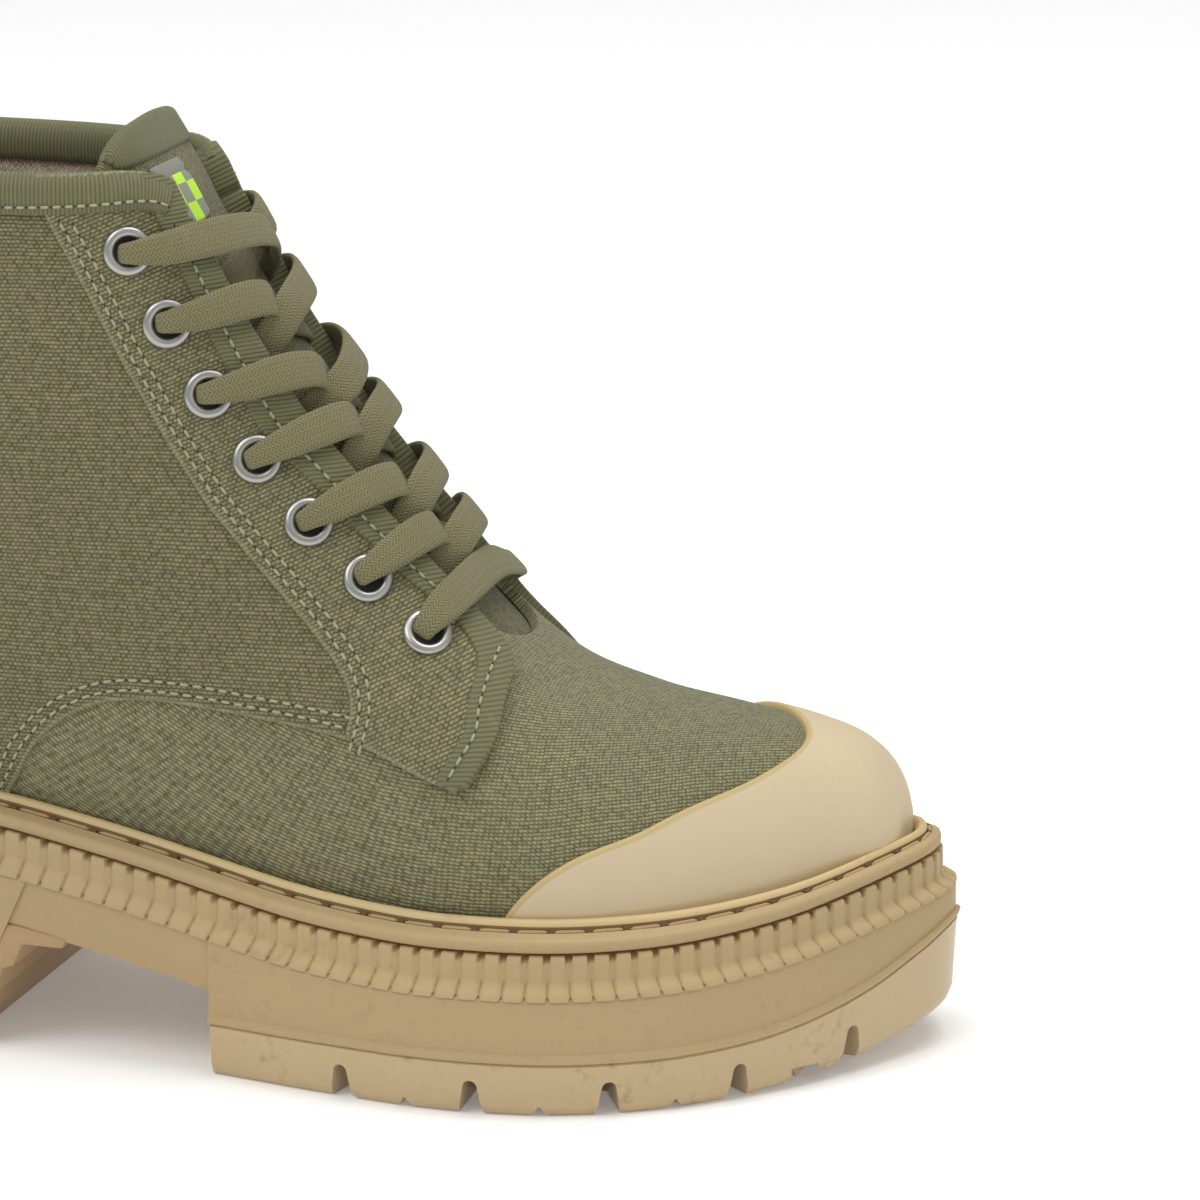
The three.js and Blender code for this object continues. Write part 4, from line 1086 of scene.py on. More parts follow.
def stack(piece: Piece, rings: list[Array], slot: int = 0) -> None:
    """Adds a solid from rings stacked upwards, closed below and above.

    Args:
        piece: The piece that the solid joins.
        rings: Rings of points, the lowest first.
        slot: Which finish it takes.
    """
    count = len(rings[0])
    points = np.concatenate(rings)
    faces = []
    for k in range(len(rings) - 1):
        faces += ring_faces(count, k * count, (k + 1) * count)
    half = np.arange(count // 2)
    near, near_after = half, half + 1
    far, far_after = (count - half) % count, count - half - 1
    lid = np.concatenate([np.stack([near, near_after, far_after], 1), np.stack([near, far_after, far], 1)])
    lid = lid[(lid[:, 0] != lid[:, 1]) & (lid[:, 1] != lid[:, 2]) & (lid[:, 0] != lid[:, 2])]
    faces += [lid + (len(rings) - 1) * count, lid[:, ::-1]]
    all_faces = np.concatenate(faces)
    piece.add(points, outward(points, all_faces), None, slot)


def capsules(
    piece: Piece, places: Array, along: Array, up: Array, half: float, radius: float, slot: int
) -> None:
    """Adds a small rounded rod at each place.

    Args:
        piece: The piece that the rods join.
        places: Their middles.
        along: Their directions.
        up: The surface's direction at each.
        half: Half of a rod's length.
        radius: A rod's thickness from its middle.
        slot: Which finish they take.
    """
    sides = 6
    angles = np.arange(sides) * 2 * math.pi / sides
    ring = np.stack([np.cos(angles), np.sin(angles)], 1) * radius
    form = [(-half, 0.0, 0.0)]
    form += [(-0.62 * half, y, z) for y, z in ring]
    form += [(0.62 * half, y, z) for y, z in ring]
    form += [(half, 0.0, 0.0)]
    form = np.array(form)
    faces = []
    for k in range(sides):
        n = (k + 1) % sides
        faces += [(0, 1 + n, 1 + k), (1 + k, 1 + n, 7 + n), (1 + k, 7 + n, 7 + k), (7 + k, 7 + n, 13)]
    faces = outward(form, np.array(faces))
    across = unit(np.cross(up, along))
    up = unit(np.cross(along, across))
    frames = np.stack([unit(along), across, up], 1)
    points = (places[:, None] + np.einsum("ij,njk->nik", form, frames)).reshape(-1, 3)
    starts = np.arange(len(places)) * len(form)
    all_faces = (faces[None] + starts[:, None, None]).reshape(-1, 3)
    piece.add(points, all_faces, np.tile(form[:, :2], (len(places), 1)), slot)


def stitch_run(piece: Piece, points: Array, normals: Array, pitch: float = 2.7) -> None:
    """Adds a row of stitches with a hole between each two. Each hole is a small dark rod whose colour is
    painted shade.

    Args:
        piece: The piece that the stitches join.
        points: The seam's line on the surface.
        normals: The surface's normals along it.
        pitch: From one stitch to the next.
    """
    line = spaced(np.concatenate([points, normals], 1), pitch / 2)
    places, ups = line[:, :3], unit(line[:, 3:])
    along = unit(np.gradient(places, axis=0))
    thread, hole = slice(1, None, 2), slice(0, None, 2)
    raised, sunk = places[thread] + ups[thread] * 0.12, places[hole] - ups[hole] * 0.08
    capsules(piece, raised, along[thread], ups[thread], 0.37 * pitch, 0.3, 0)
    # Dark rods at the holes: painted shade.
    capsules(piece, sunk, along[hole], ups[hole], 0.34, 0.22, 1)


def moved_line(line: Array, inset: float) -> Array:
    """Returns a flat line moved to its left by inset."""
    run = unit(np.gradient(line, axis=0))
    return line + np.stack([-run[:, 1], run[:, 0]], 1) * inset


def linear(channel: float) -> float:
    """Returns a screen channel from 0 to 255 as linear light."""
    share = channel / 255
    return share / 12.92 if share <= 0.04045 else ((share + 0.055) / 1.055) ** 2.4


def colour(red: float, green: float, blue: float) -> tuple[float, float, float, float]:
    """Returns a colour for a shader from screen channels."""
    return linear(red), linear(green), linear(blue), 1.0


class Sketch:
    """Adds nodes to a node tree and joins them."""

    def __init__(self, tree: bpy.types.NodeTree) -> None:
        """Keeps the tree."""
        self.tree = tree

    def node(self, kind: str, **fields: object) -> bpy.types.Node:
        """Returns a new node with the fields set."""
        made = self.tree.nodes.new(kind)
        for name, value in fields.items():
            setattr(made, name, value)
        return made

    def feed(self, target: bpy.types.NodeSocket, value: object) -> None:
        """Links a socket to target, or sets target to a plain value."""
        if isinstance(value, bpy.types.NodeSocket):
            self.tree.links.new(value, target)
        else:
            target.default_value = value

    def maths(self, operation: str, *values: object) -> bpy.types.NodeSocket:
        """Returns the result of an operation on one to three values."""
        made = self.node("ShaderNodeMath", operation=operation)
        for target, value in zip(made.inputs, values):
            self.feed(target, value)
        return made.outputs[0]

    def step(self, value: object, low: float, high: float) -> bpy.types.NodeSocket:
        """Returns 0 at low and 1 at high, with a soft step between."""
        made = self.node("ShaderNodeMapRange", interpolation_type="SMOOTHSTEP")
        for name, content in (("Value", value), ("From Min", low), ("From Max", high)):
            self.feed(made.inputs[name], content)
        return made.outputs["Result"]

    def mix(self, share: object, a: object, b: object) -> bpy.types.NodeSocket:
        """Returns the colour at a share of the way from a to b."""
        made = self.node("ShaderNodeMix", data_type="RGBA")
        for index, value in ((0, share), (6, a), (7, b)):
            self.feed(made.inputs[index], value)
        return made.outputs[2]

    def shade(self, tint: object, amount: object) -> bpy.types.NodeSocket:
        """Returns a colour multiplied by a grey amount."""
        made = self.node("ShaderNodeVectorMath", operation="SCALE")
        self.feed(made.inputs[0], tint)
        self.feed(made.inputs["Scale"], amount)
        return made.outputs[0]

    def noise(self, where: object, scale: float, detail: float = 3.0) -> bpy.types.NodeSocket:
        """Returns noise from 0 to 1."""
        made = self.node("ShaderNodeTexNoise")
        for name, value in (("Vector", where), ("Scale", scale), ("Detail", detail)):
            self.feed(made.inputs[name], value)
        return made.outputs[0]

    def where(self) -> bpy.types.NodeSocket:
        """Returns places on the piece, in metres."""
        return self.node("ShaderNodeTexCoord").outputs["Object"]

    def layer(self, name: str) -> bpy.types.NodeSocket:
        """Returns a layer of the piece: its cloth coordinates, or its distance to the edge."""
        return self.node("ShaderNodeUVMap", uv_map=name).outputs[0]

    def split(self, vector: object) -> tuple[bpy.types.NodeSocket, bpy.types.NodeSocket]:
        """Returns the first two parts of a vector."""
        made = self.node("ShaderNodeSeparateXYZ")
        self.feed(made.inputs[0], vector)
        return made.outputs[0], made.outputs[1]


class Effect(Enum):
    """Effects that several finishes share, each a node group."""

    WEAVE = "weave"
    HERRINGBONE = "herringbone"
    GRIME = "grime"
    SPECKLE = "speckle"


def new_group(
    name: str, inputs: dict[str, str], outputs: dict[str, str]
) -> tuple[bpy.types.NodeTree, Sketch]:
    """Returns an empty node group with its sockets, and a sketch of it."""
    tree = bpy.data.node_groups.new(name, "ShaderNodeTree")
    for label, kind in inputs.items():
        tree.interface.new_socket(label, in_out="INPUT", socket_type=kind)
    for label, kind in outputs.items():
        tree.interface.new_socket(label, in_out="OUTPUT", socket_type=kind)
    return tree, Sketch(tree)


def weave_group() -> bpy.types.NodeTree:
    """Returns a group for canvas: rows of staggered grains with uneven threads."""
    sockets = {"Cloth": "NodeSocketVector", "Across": "NodeSocketFloat", "Down": "NodeSocketFloat"}
    tree, sketch = new_group(Effect.WEAVE.value, sockets, {"Height": "NodeSocketFloat"})
    start = sketch.node("NodeGroupInput").outputs
    u, v = sketch.split(start["Cloth"])
    u = sketch.maths("DIVIDE", u, start["Across"])
    v = sketch.maths("DIVIDE", v, start["Down"])
    row = sketch.maths("FLOOR", v)
    u = sketch.maths("MULTIPLY_ADD", sketch.maths("FLOORED_MODULO", row, 2.0), 0.5, u)
    grain = sketch.maths("ABSOLUTE", sketch.maths("SINE", sketch.maths("MULTIPLY", u, math.pi)))
    line = sketch.maths("ABSOLUTE", sketch.maths("SINE", sketch.maths("MULTIPLY", v, math.pi)))
    spot = sketch.node("ShaderNodeCombineXYZ")
    sketch.feed(spot.inputs[0], sketch.maths("MULTIPLY", u, 0.9))
    sketch.feed(spot.inputs[1], sketch.maths("MULTIPLY", row, 7.31))
    random = sketch.step(sketch.noise(spot.outputs[0], 1.0, 1.0), 0.3, 0.66)
    patchy = sketch.maths("MULTIPLY", random, 0.44)
    grain = sketch.maths("MULTIPLY_ADD", sketch.maths("POWER", grain, 0.7), 0.56, patchy)
    line = sketch.maths("POWER", line, 0.6)
    thread = sketch.node("ShaderNodeTexWhiteNoise", noise_dimensions="2D")
    cell = sketch.node("ShaderNodeCombineXYZ")
    sketch.feed(cell.inputs[0], sketch.maths("FLOOR", sketch.maths("MULTIPLY", u, 0.12)))
    sketch.feed(cell.inputs[1], row)
    sketch.feed(thread.inputs["Vector"], cell.outputs[0])
    uneven = sketch.maths("MULTIPLY_ADD", thread.outputs["Value"], 0.16, 0.84)
    end = sketch.node("NodeGroupOutput")
    height = sketch.maths("MULTIPLY", sketch.maths("MULTIPLY", grain, line), uneven)
    sketch.feed(end.inputs["Height"], height)
    return tree


def herringbone_group() -> bpy.types.NodeTree:
    """Returns a group for slanted ribs that turn back at lengthwise lines."""
    sockets = {"Cloth": "NodeSocketVector", "Band": "NodeSocketFloat", "Pitch": "NodeSocketFloat"}
    sockets["Slant"] = "NodeSocketFloat"
    tree, sketch = new_group(Effect.HERRINGBONE.value, sockets, {"Height": "NodeSocketFloat"})
    start = sketch.node("NodeGroupInput").outputs
    u, v = sketch.split(start["Cloth"])
    turn = sketch.maths("MULTIPLY", sketch.maths("PINGPONG", u, start["Band"]), start["Slant"])
    slant = sketch.maths("DIVIDE", sketch.maths("ADD", v, turn), start["Pitch"])
    ribs = sketch.maths("ABSOLUTE", sketch.maths("SINE", sketch.maths("MULTIPLY", slant, math.pi)))
    crest = sketch.maths("PINGPONG", u, sketch.maths("MULTIPLY", start["Band"], 0.5))
    line = sketch.maths("MULTIPLY_ADD", sketch.step(crest, 0.0, 0.25), 0.4, 0.6)
    end = sketch.node("NodeGroupOutput")
    sketch.feed(end.inputs["Height"], sketch.maths("MULTIPLY", ribs, line))
    return tree


def grime_group() -> bpy.types.NodeTree:
    """Returns a group for uneven dirt: a mask, and a slow change of tone."""
    sockets = {"Where": "NodeSocketVector"}
    outputs = {"Mask": "NodeSocketFloat", "Tone": "NodeSocketFloat"}
    tree, sketch = new_group(Effect.GRIME.value, sockets, outputs)
    start = sketch.node("NodeGroupInput").outputs
    broad = sketch.noise(start["Where"], 28.0, 4.0)
    fine = sketch.noise(start["Where"], 420.0, 3.0)
    both = sketch.maths("MULTIPLY_ADD", fine, 0.45, sketch.maths("MULTIPLY", broad, 0.55))
    end = sketch.node("NodeGroupOutput")
    sketch.feed(end.inputs["Mask"], sketch.step(both, 0.56, 0.72))
    slow = sketch.noise(start["Where"], 14.0)
    sketch.feed(end.inputs["Tone"], sketch.maths("MULTIPLY_ADD", slow, 0.22, 0.89))
    return tree


def speckle_group() -> bpy.types.NodeTree:
    """Returns a group for small specks, with a soft grain between them."""
    sockets = {"Where": "NodeSocketVector", "Scale": "NodeSocketFloat"}
    outputs = {"Specks": "NodeSocketFloat", "Grain": "NodeSocketFloat"}
    tree, sketch = new_group(Effect.SPECKLE.value, sockets, outputs)
    start = sketch.node("NodeGroupInput").outputs
    cells = sketch.node("ShaderNodeTexVoronoi")
    sketch.feed(cells.inputs["Vector"], start["Where"])
    sketch.feed(cells.inputs["Scale"], start["Scale"])
    grain = sketch.node("ShaderNodeTexNoise")
    sketch.feed(grain.inputs["Vector"], start["Where"])
    sketch.feed(grain.inputs["Scale"], start["Scale"])
    end = sketch.node("NodeGroupOutput")
    away = sketch.step(cells.outputs[0], 0.05, 0.16)
    sketch.feed(end.inputs["Specks"], sketch.maths("SUBTRACT", 1.0, away))
    sketch.feed(end.inputs["Grain"], grain.outputs[0])
    return tree


GROUP_MAKERS = {
    Effect.WEAVE: weave_group,
    Effect.HERRINGBONE: herringbone_group,
    Effect.GRIME: grime_group,
    Effect.SPECKLE: speckle_group,
}


class Effects:
    """Makes each shared effect once and places it in materials."""

    def __init__(self) -> None:
        """Makes the groups."""
        self.trees = {effect: maker() for effect, maker in GROUP_MAKERS.items()}

    def use(self, sketch: Sketch, effect: Effect, **inputs: object) -> bpy.types.NodeOutputs:
        """Returns the outputs of an effect that is placed in a sketch."""
        made = sketch.node("ShaderNodeGroup", node_tree=self.trees[effect])
        for name, value in inputs.items():
            sketch.feed(made.inputs[name], value)
        return made.outputs


EFFECTS = Effects()


def start_material(name: str, roughness: float) -> tuple[bpy.types.Material, Sketch, bpy.types.Node]:
    """Returns a new material, a sketch of its tree and its shader."""
    material = bpy.data.materials.new(name)
    material.use_nodes = True
    shader = material.node_tree.nodes["Principled BSDF"]
    shader.inputs["Roughness"].default_value = roughness
    return material, Sketch(material.node_tree), shader


def bump(
    sketch: Sketch, shader: bpy.types.Node, height: object, depth: float, strength: float = 1.0
) -> None:
    """Feeds a shader's normal from a height. The depth is in millimetres."""
    made = sketch.node("ShaderNodeBump")
    made.inputs["Strength"].default_value = strength
    made.inputs["Distance"].default_value = depth * MM
    sketch.feed(made.inputs["Height"], height)
    sketch.feed(shader.inputs["Normal"], made.outputs[0])


@dataclass(frozen=True)
class ClothFinish:
    """Woven canvas: threads of two pitches, laid at a turn, with worn and dirty patches, and painted shade
    in the gaps between threads.
    """

    name: str
    tint: tuple[float, float, float]
    across: float = 0.8
    down: float = 0.8
    turn: float = 0.0
    depth: float = 0.26
    dirt: float = 0.3
    fray: float = 0.0

    def material(self) -> bpy.types.Material:
        """Returns the finish as a material."""
        material, sketch, shader = start_material(self.name, 0.92)
        shader.inputs["Sheen Weight"].default_value = 0.12
        where = sketch.where()
        cloth = sketch.layer("cloth")
        turned = sketch.node("ShaderNodeMapping")
        turned.inputs["Rotation"].default_value = (0, 0, math.radians(self.turn))
        sketch.feed(turned.inputs["Vector"], cloth)
        waver = sketch.node("ShaderNodeVectorMath", operation="MULTIPLY_ADD")
        slub = sketch.node("ShaderNodeTexNoise")
        sketch.feed(slub.inputs["Vector"], where)
        slub.inputs["Scale"].default_value = 260.0
        sketch.feed(waver.inputs[0], slub.outputs["Color"])
        waver.inputs[1].default_value = (0.9, 0.45, 0.0)
        sketch.feed(waver.inputs[2], turned.outputs[0])
        height = EFFECTS.use(
            sketch, Effect.WEAVE, Cloth=waver.outputs[0], Across=self.across, Down=self.down
        )["Height"]
        grime = EFFECTS.use(sketch, Effect.GRIME, Where=where)
        # The colour follows the weave's height: painted shade in the gaps between threads, with real tone
        # changes from thread to thread.
        thread = sketch.maths("MULTIPLY_ADD", height, 1.6, 0.27)
        tone = sketch.maths("MULTIPLY", thread, grime["Tone"])
        base = sketch.shade(colour(*self.tint)[:3], tone)
        faded = sketch.mix(sketch.maths("MULTIPLY", grime["Mask"], self.dirt), base, colour(118, 113, 84))
        edge = sketch.split(sketch.layer("edge"))[0]
        rough = sketch.maths("MULTIPLY_ADD", slub.outputs[0], 0.9, edge)
        frayed = sketch.maths("SUBTRACT", 1.0, sketch.step(rough, 0.45, 1.0))
        hemmed = sketch.mix(sketch.maths("MULTIPLY", frayed, self.fray), faded, colour(140, 145, 110))
        sketch.feed(shader.inputs["Base Color"], hemmed)
        bump(sketch, shader, height, self.depth)
        return material


@dataclass(frozen=True)
class TapeFinish:
    """Woven tape with ribs across it or with a herringbone, darker between the ribs as painted shade."""

    name: str
    tint: tuple[float, float, float]
    band: float = 1.9
    pitch: float = 0.75
    slant: float = 1.0
    depth: float = 0.2

    def material(self) -> bpy.types.Material:
        """Returns the finish as a material."""
        material, sketch, shader = start_material(self.name, 0.85)
        shader.inputs["Sheen Weight"].default_value = 0.1
        where = sketch.where()
        cloth = sketch.layer("cloth")
        height = EFFECTS.use(
            sketch, Effect.HERRINGBONE, Cloth=cloth, Band=self.band, Pitch=self.pitch, Slant=self.slant
        )["Height"]
        grime = EFFECTS.use(sketch, Effect.GRIME, Where=where)
        # Darker where the ribs are low: painted shade between the ribs.
        tone = sketch.maths("MULTIPLY", sketch.maths("MULTIPLY_ADD", height, 0.5, 0.66), grime["Tone"])
        base = sketch.shade(colour(*self.tint)[:3], tone)
        worn = sketch.mix(sketch.maths("MULTIPLY", grime["Mask"], 0.25), base, colour(150, 144, 116))
        sketch.feed(shader.inputs["Base Color"], worn)
        bump(sketch, shader, height, self.depth)
        return material


@dataclass(frozen=True)
class RubberFinish:
    """Matte rubber with specks, a fine grain and dirt."""

    name: str
    tint: tuple[float, float, float]
    roughness: float = 0.55
    specks: float = 0.35
    dirt: float = 0.4
    stain: tuple[float, float, float] = (140, 118, 86)
    rim: tuple[float, float, float] = (188, 166, 116)
    coat: float = 0.0
    scattering: float = 0.0

    def material(self) -> bpy.types.Material:
        """Returns the finish as a material."""
        material, sketch, shader = start_material(self.name, self.roughness)
        shader.inputs["Coat Weight"].default_value = self.coat
        shader.inputs["Coat Roughness"].default_value = 0.35
        if self.scattering:
            shader.inputs["Subsurface Weight"].default_value = self.scattering
            shader.inputs["Subsurface Radius"].default_value = (0.004, 0.0025, 0.0012)
        where = sketch.where()
        grime = EFFECTS.use(sketch, Effect.GRIME, Where=where)
        specks = EFFECTS.use(sketch, Effect.SPECKLE, Where=where, Scale=420.0)
        base = sketch.shade(colour(*self.tint)[:3], grime["Tone"])
        soiled = sketch.mix(sketch.maths("MULTIPLY", grime["Mask"], self.dirt), base, colour(*self.stain))
        spotted = sketch.maths("MULTIPLY", specks["Specks"], self.specks)
        dotted = sketch.mix(spotted, soiled, colour(92, 78, 58))
        edge = sketch.split(sketch.layer("edge"))[0]
        rim = sketch.maths("SUBTRACT", 1.0, sketch.step(edge, 0.1, 0.55))
        sketch.feed(shader.inputs["Base Color"], sketch.mix(rim, dotted, colour(*self.rim)))
        bump(sketch, shader, specks["Grain"], 0.12, 0.6)
        return material


@dataclass(frozen=True)
class PlainFinish:
    """One colour with a set roughness, for metal and thread, and for holes and the welt's groove, whose
    dark colours are painted shade.
    """

    name: str
    tint: tuple[float, float, float]
    roughness: float = 0.5
    metallic: float = 0.0

    def material(self) -> bpy.types.Material:
        """Returns the finish as a material."""
        material, sketch, shader = start_material(self.name, self.roughness)
        shader.inputs["Metallic"].default_value = self.metallic
        where = sketch.where()
        tone = EFFECTS.use(sketch, Effect.GRIME, Where=where)["Tone"]
        sketch.feed(shader.inputs["Base Color"], sketch.shade(colour(*self.tint)[:3], tone))
        return material


@dataclass(frozen=True)
class CheckFinish:
    """Checked woven tape in two colours."""

    name: str
    light: tuple[float, float, float]
    dark: tuple[float, float, float]
    check: float = 4.3

    def material(self) -> bpy.types.Material:
        """Returns the finish as a material."""
        material, sketch, shader = start_material(self.name, 0.8)
        cloth = sketch.layer("cloth")
        checks = sketch.node("ShaderNodeTexChecker")
        sketch.feed(checks.inputs["Vector"], cloth)
        checks.inputs["Scale"].default_value = 1 / self.check
        sketch.feed(checks.inputs["Color1"], colour(*self.light))
        sketch.feed(checks.inputs["Color2"], colour(*self.dark))
        sketch.feed(shader.inputs["Base Color"], checks.outputs["Color"])
        return material


class Look(Enum):
    """The boot's finishes."""

    VAMP = ClothFinish("canvas_vamp", (122, 119, 86), 0.85, 0.68, turn=-28.0)
    QUARTER = ClothFinish("canvas_quarter", (113, 109, 76), 1.0, 0.8, depth=0.32, fray=0.5)
    FLAP = ClothFinish("canvas_flap", (118, 114, 81), 1.0, 0.8, turn=-24.0, depth=0.32, fray=0.5)
    TONGUE = ClothFinish("canvas_tongue", (112, 109, 78), 0.9, 0.72)
    LINING = ClothFinish("lining_cloth", (196, 178, 162), 0.6, 0.6, depth=0.1, dirt=0.05)
    TAPE = TapeFinish("canvas_tape", (106, 105, 72), 40.0, 0.8, 0.0, 0.13)
    LACE = TapeFinish("lace_cord", (124, 119, 83), 0.97, 0.8)
    CAP = RubberFinish("cap_rubber", (202, 184, 151), 0.62, 0.03, 0.12, (176, 152, 118))
    BEAD = RubberFinish("bead_rubber", (196, 172, 124), 0.5, 0.1, 0.3)
    MIDSOLE = RubberFinish("midsole_foam", (172, 148, 106), 0.62, 0.15, 0.3, (142, 118, 82))
    RIBS = RubberFinish("rib_rubber", (176, 152, 109), 0.6, 0.08, 0.35, (130, 106, 72))
    GUM = RubberFinish(
        "gum_rubber",
        (187, 164, 124),
        0.4,
        0.15,
        0.55,
        (138, 108, 72),
        rim=(192, 170, 136),
        coat=0.15,
        scattering=0.35,
    )
    # Painted shade: the welt's groove is coloured darker than the rubber round it.
    GROOVE = PlainFinish("welt_groove_painted_shade", (124, 96, 58), 0.8)
    BREAST = RubberFinish(
        "gum_breast", (122, 92, 56), 0.4, 0.2, 0.6, (104, 76, 46), rim=(170, 140, 98), coat=0.15
    )
    METAL = PlainFinish("nickel", (172, 171, 166), 0.34, 1.0)
    # Painted shade: near-black inside the eyelets' bores.
    HOLE = PlainFinish("eyelet_bore_painted_shade", (14, 13, 11), 0.9)
    # Painted shade: the dark holes between the upper's stitches.
    NEEDLE = PlainFinish("needle_hole_painted_shade", (58, 54, 38), 0.9)
    THREAD = PlainFinish("thread", (158, 161, 130), 0.8)
    WELT_THREAD = PlainFinish("welt_thread", (172, 148, 104), 0.75)
    # Painted shade: the dark holes between the welt's stitches.
    WELT_HOLE = PlainFinish("welt_hole_painted_shade", (98, 72, 42), 0.8)
    LABEL = CheckFinish("check_tape", (190, 238, 70), (142, 144, 132))
    LABEL_EDGE = PlainFinish("grey_tape", (136, 136, 126), 0.8)


class Library:
    """Makes each finish's material once."""

    def __init__(self) -> None:
        """Starts with no material."""
        self.made: dict[Look, bpy.types.Material] = {}

    def get(self, *looks: Look) -> list[bpy.types.Material]:
        """Returns the materials of several finishes."""
        for look in looks:
            if look not in self.made:
                self.made[look] = look.value.material()
        return [self.made[look] for look in looks]


@dataclass
class SubAssembly:
    """Pieces that are built and dressed together."""

    library: Library

    def place(self, piece: bpy.types.Object, slot: str, *nodes: str) -> bpy.types.Object:
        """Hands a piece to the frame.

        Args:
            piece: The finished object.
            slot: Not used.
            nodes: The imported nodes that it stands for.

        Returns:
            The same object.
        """
        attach(piece, "root")
        if nodes:
            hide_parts(*nodes)
        LOG.info("%s: %d faces", piece.name, len(piece.data.polygons))
        return piece


BREAST = [
    (-54.0, 0.6),
    (-50.6, 0.6),
    (-48.6, 5.6),
    (-46.6, 6.0),
    (-45.4, 11.6),
    (-43.2, 12.2),
    (-42.0, 17.2),
    (-39.6, 18.0),
    (-37.6, 22.6),
    (-29.0, 22.4),
    (-28.0, 24.6),
    (-38.0, 26.4),
    (-44.0, 27.0),
]


@dataclass
class Notch:
    """A slot in the tread's edge: its widths, depth and reach from the outline."""

    mouth: float
    slot: float
    depth: float
    reach: float


class TreadPlan(NamedTuple):
    """One outsole's tread: its notches along the outline and its cross grooves."""

    start: float
    cuts: int
    grooves: int
    first_groove: float
    groove_pitch: float
    groove_half: float


FOREFOOT_TREAD = TreadPlan(195.0, 9, 5, 22, 25, 26)
HEEL_TREAD = TreadPlan(34.0, 5, 3, -114, 24, 21)


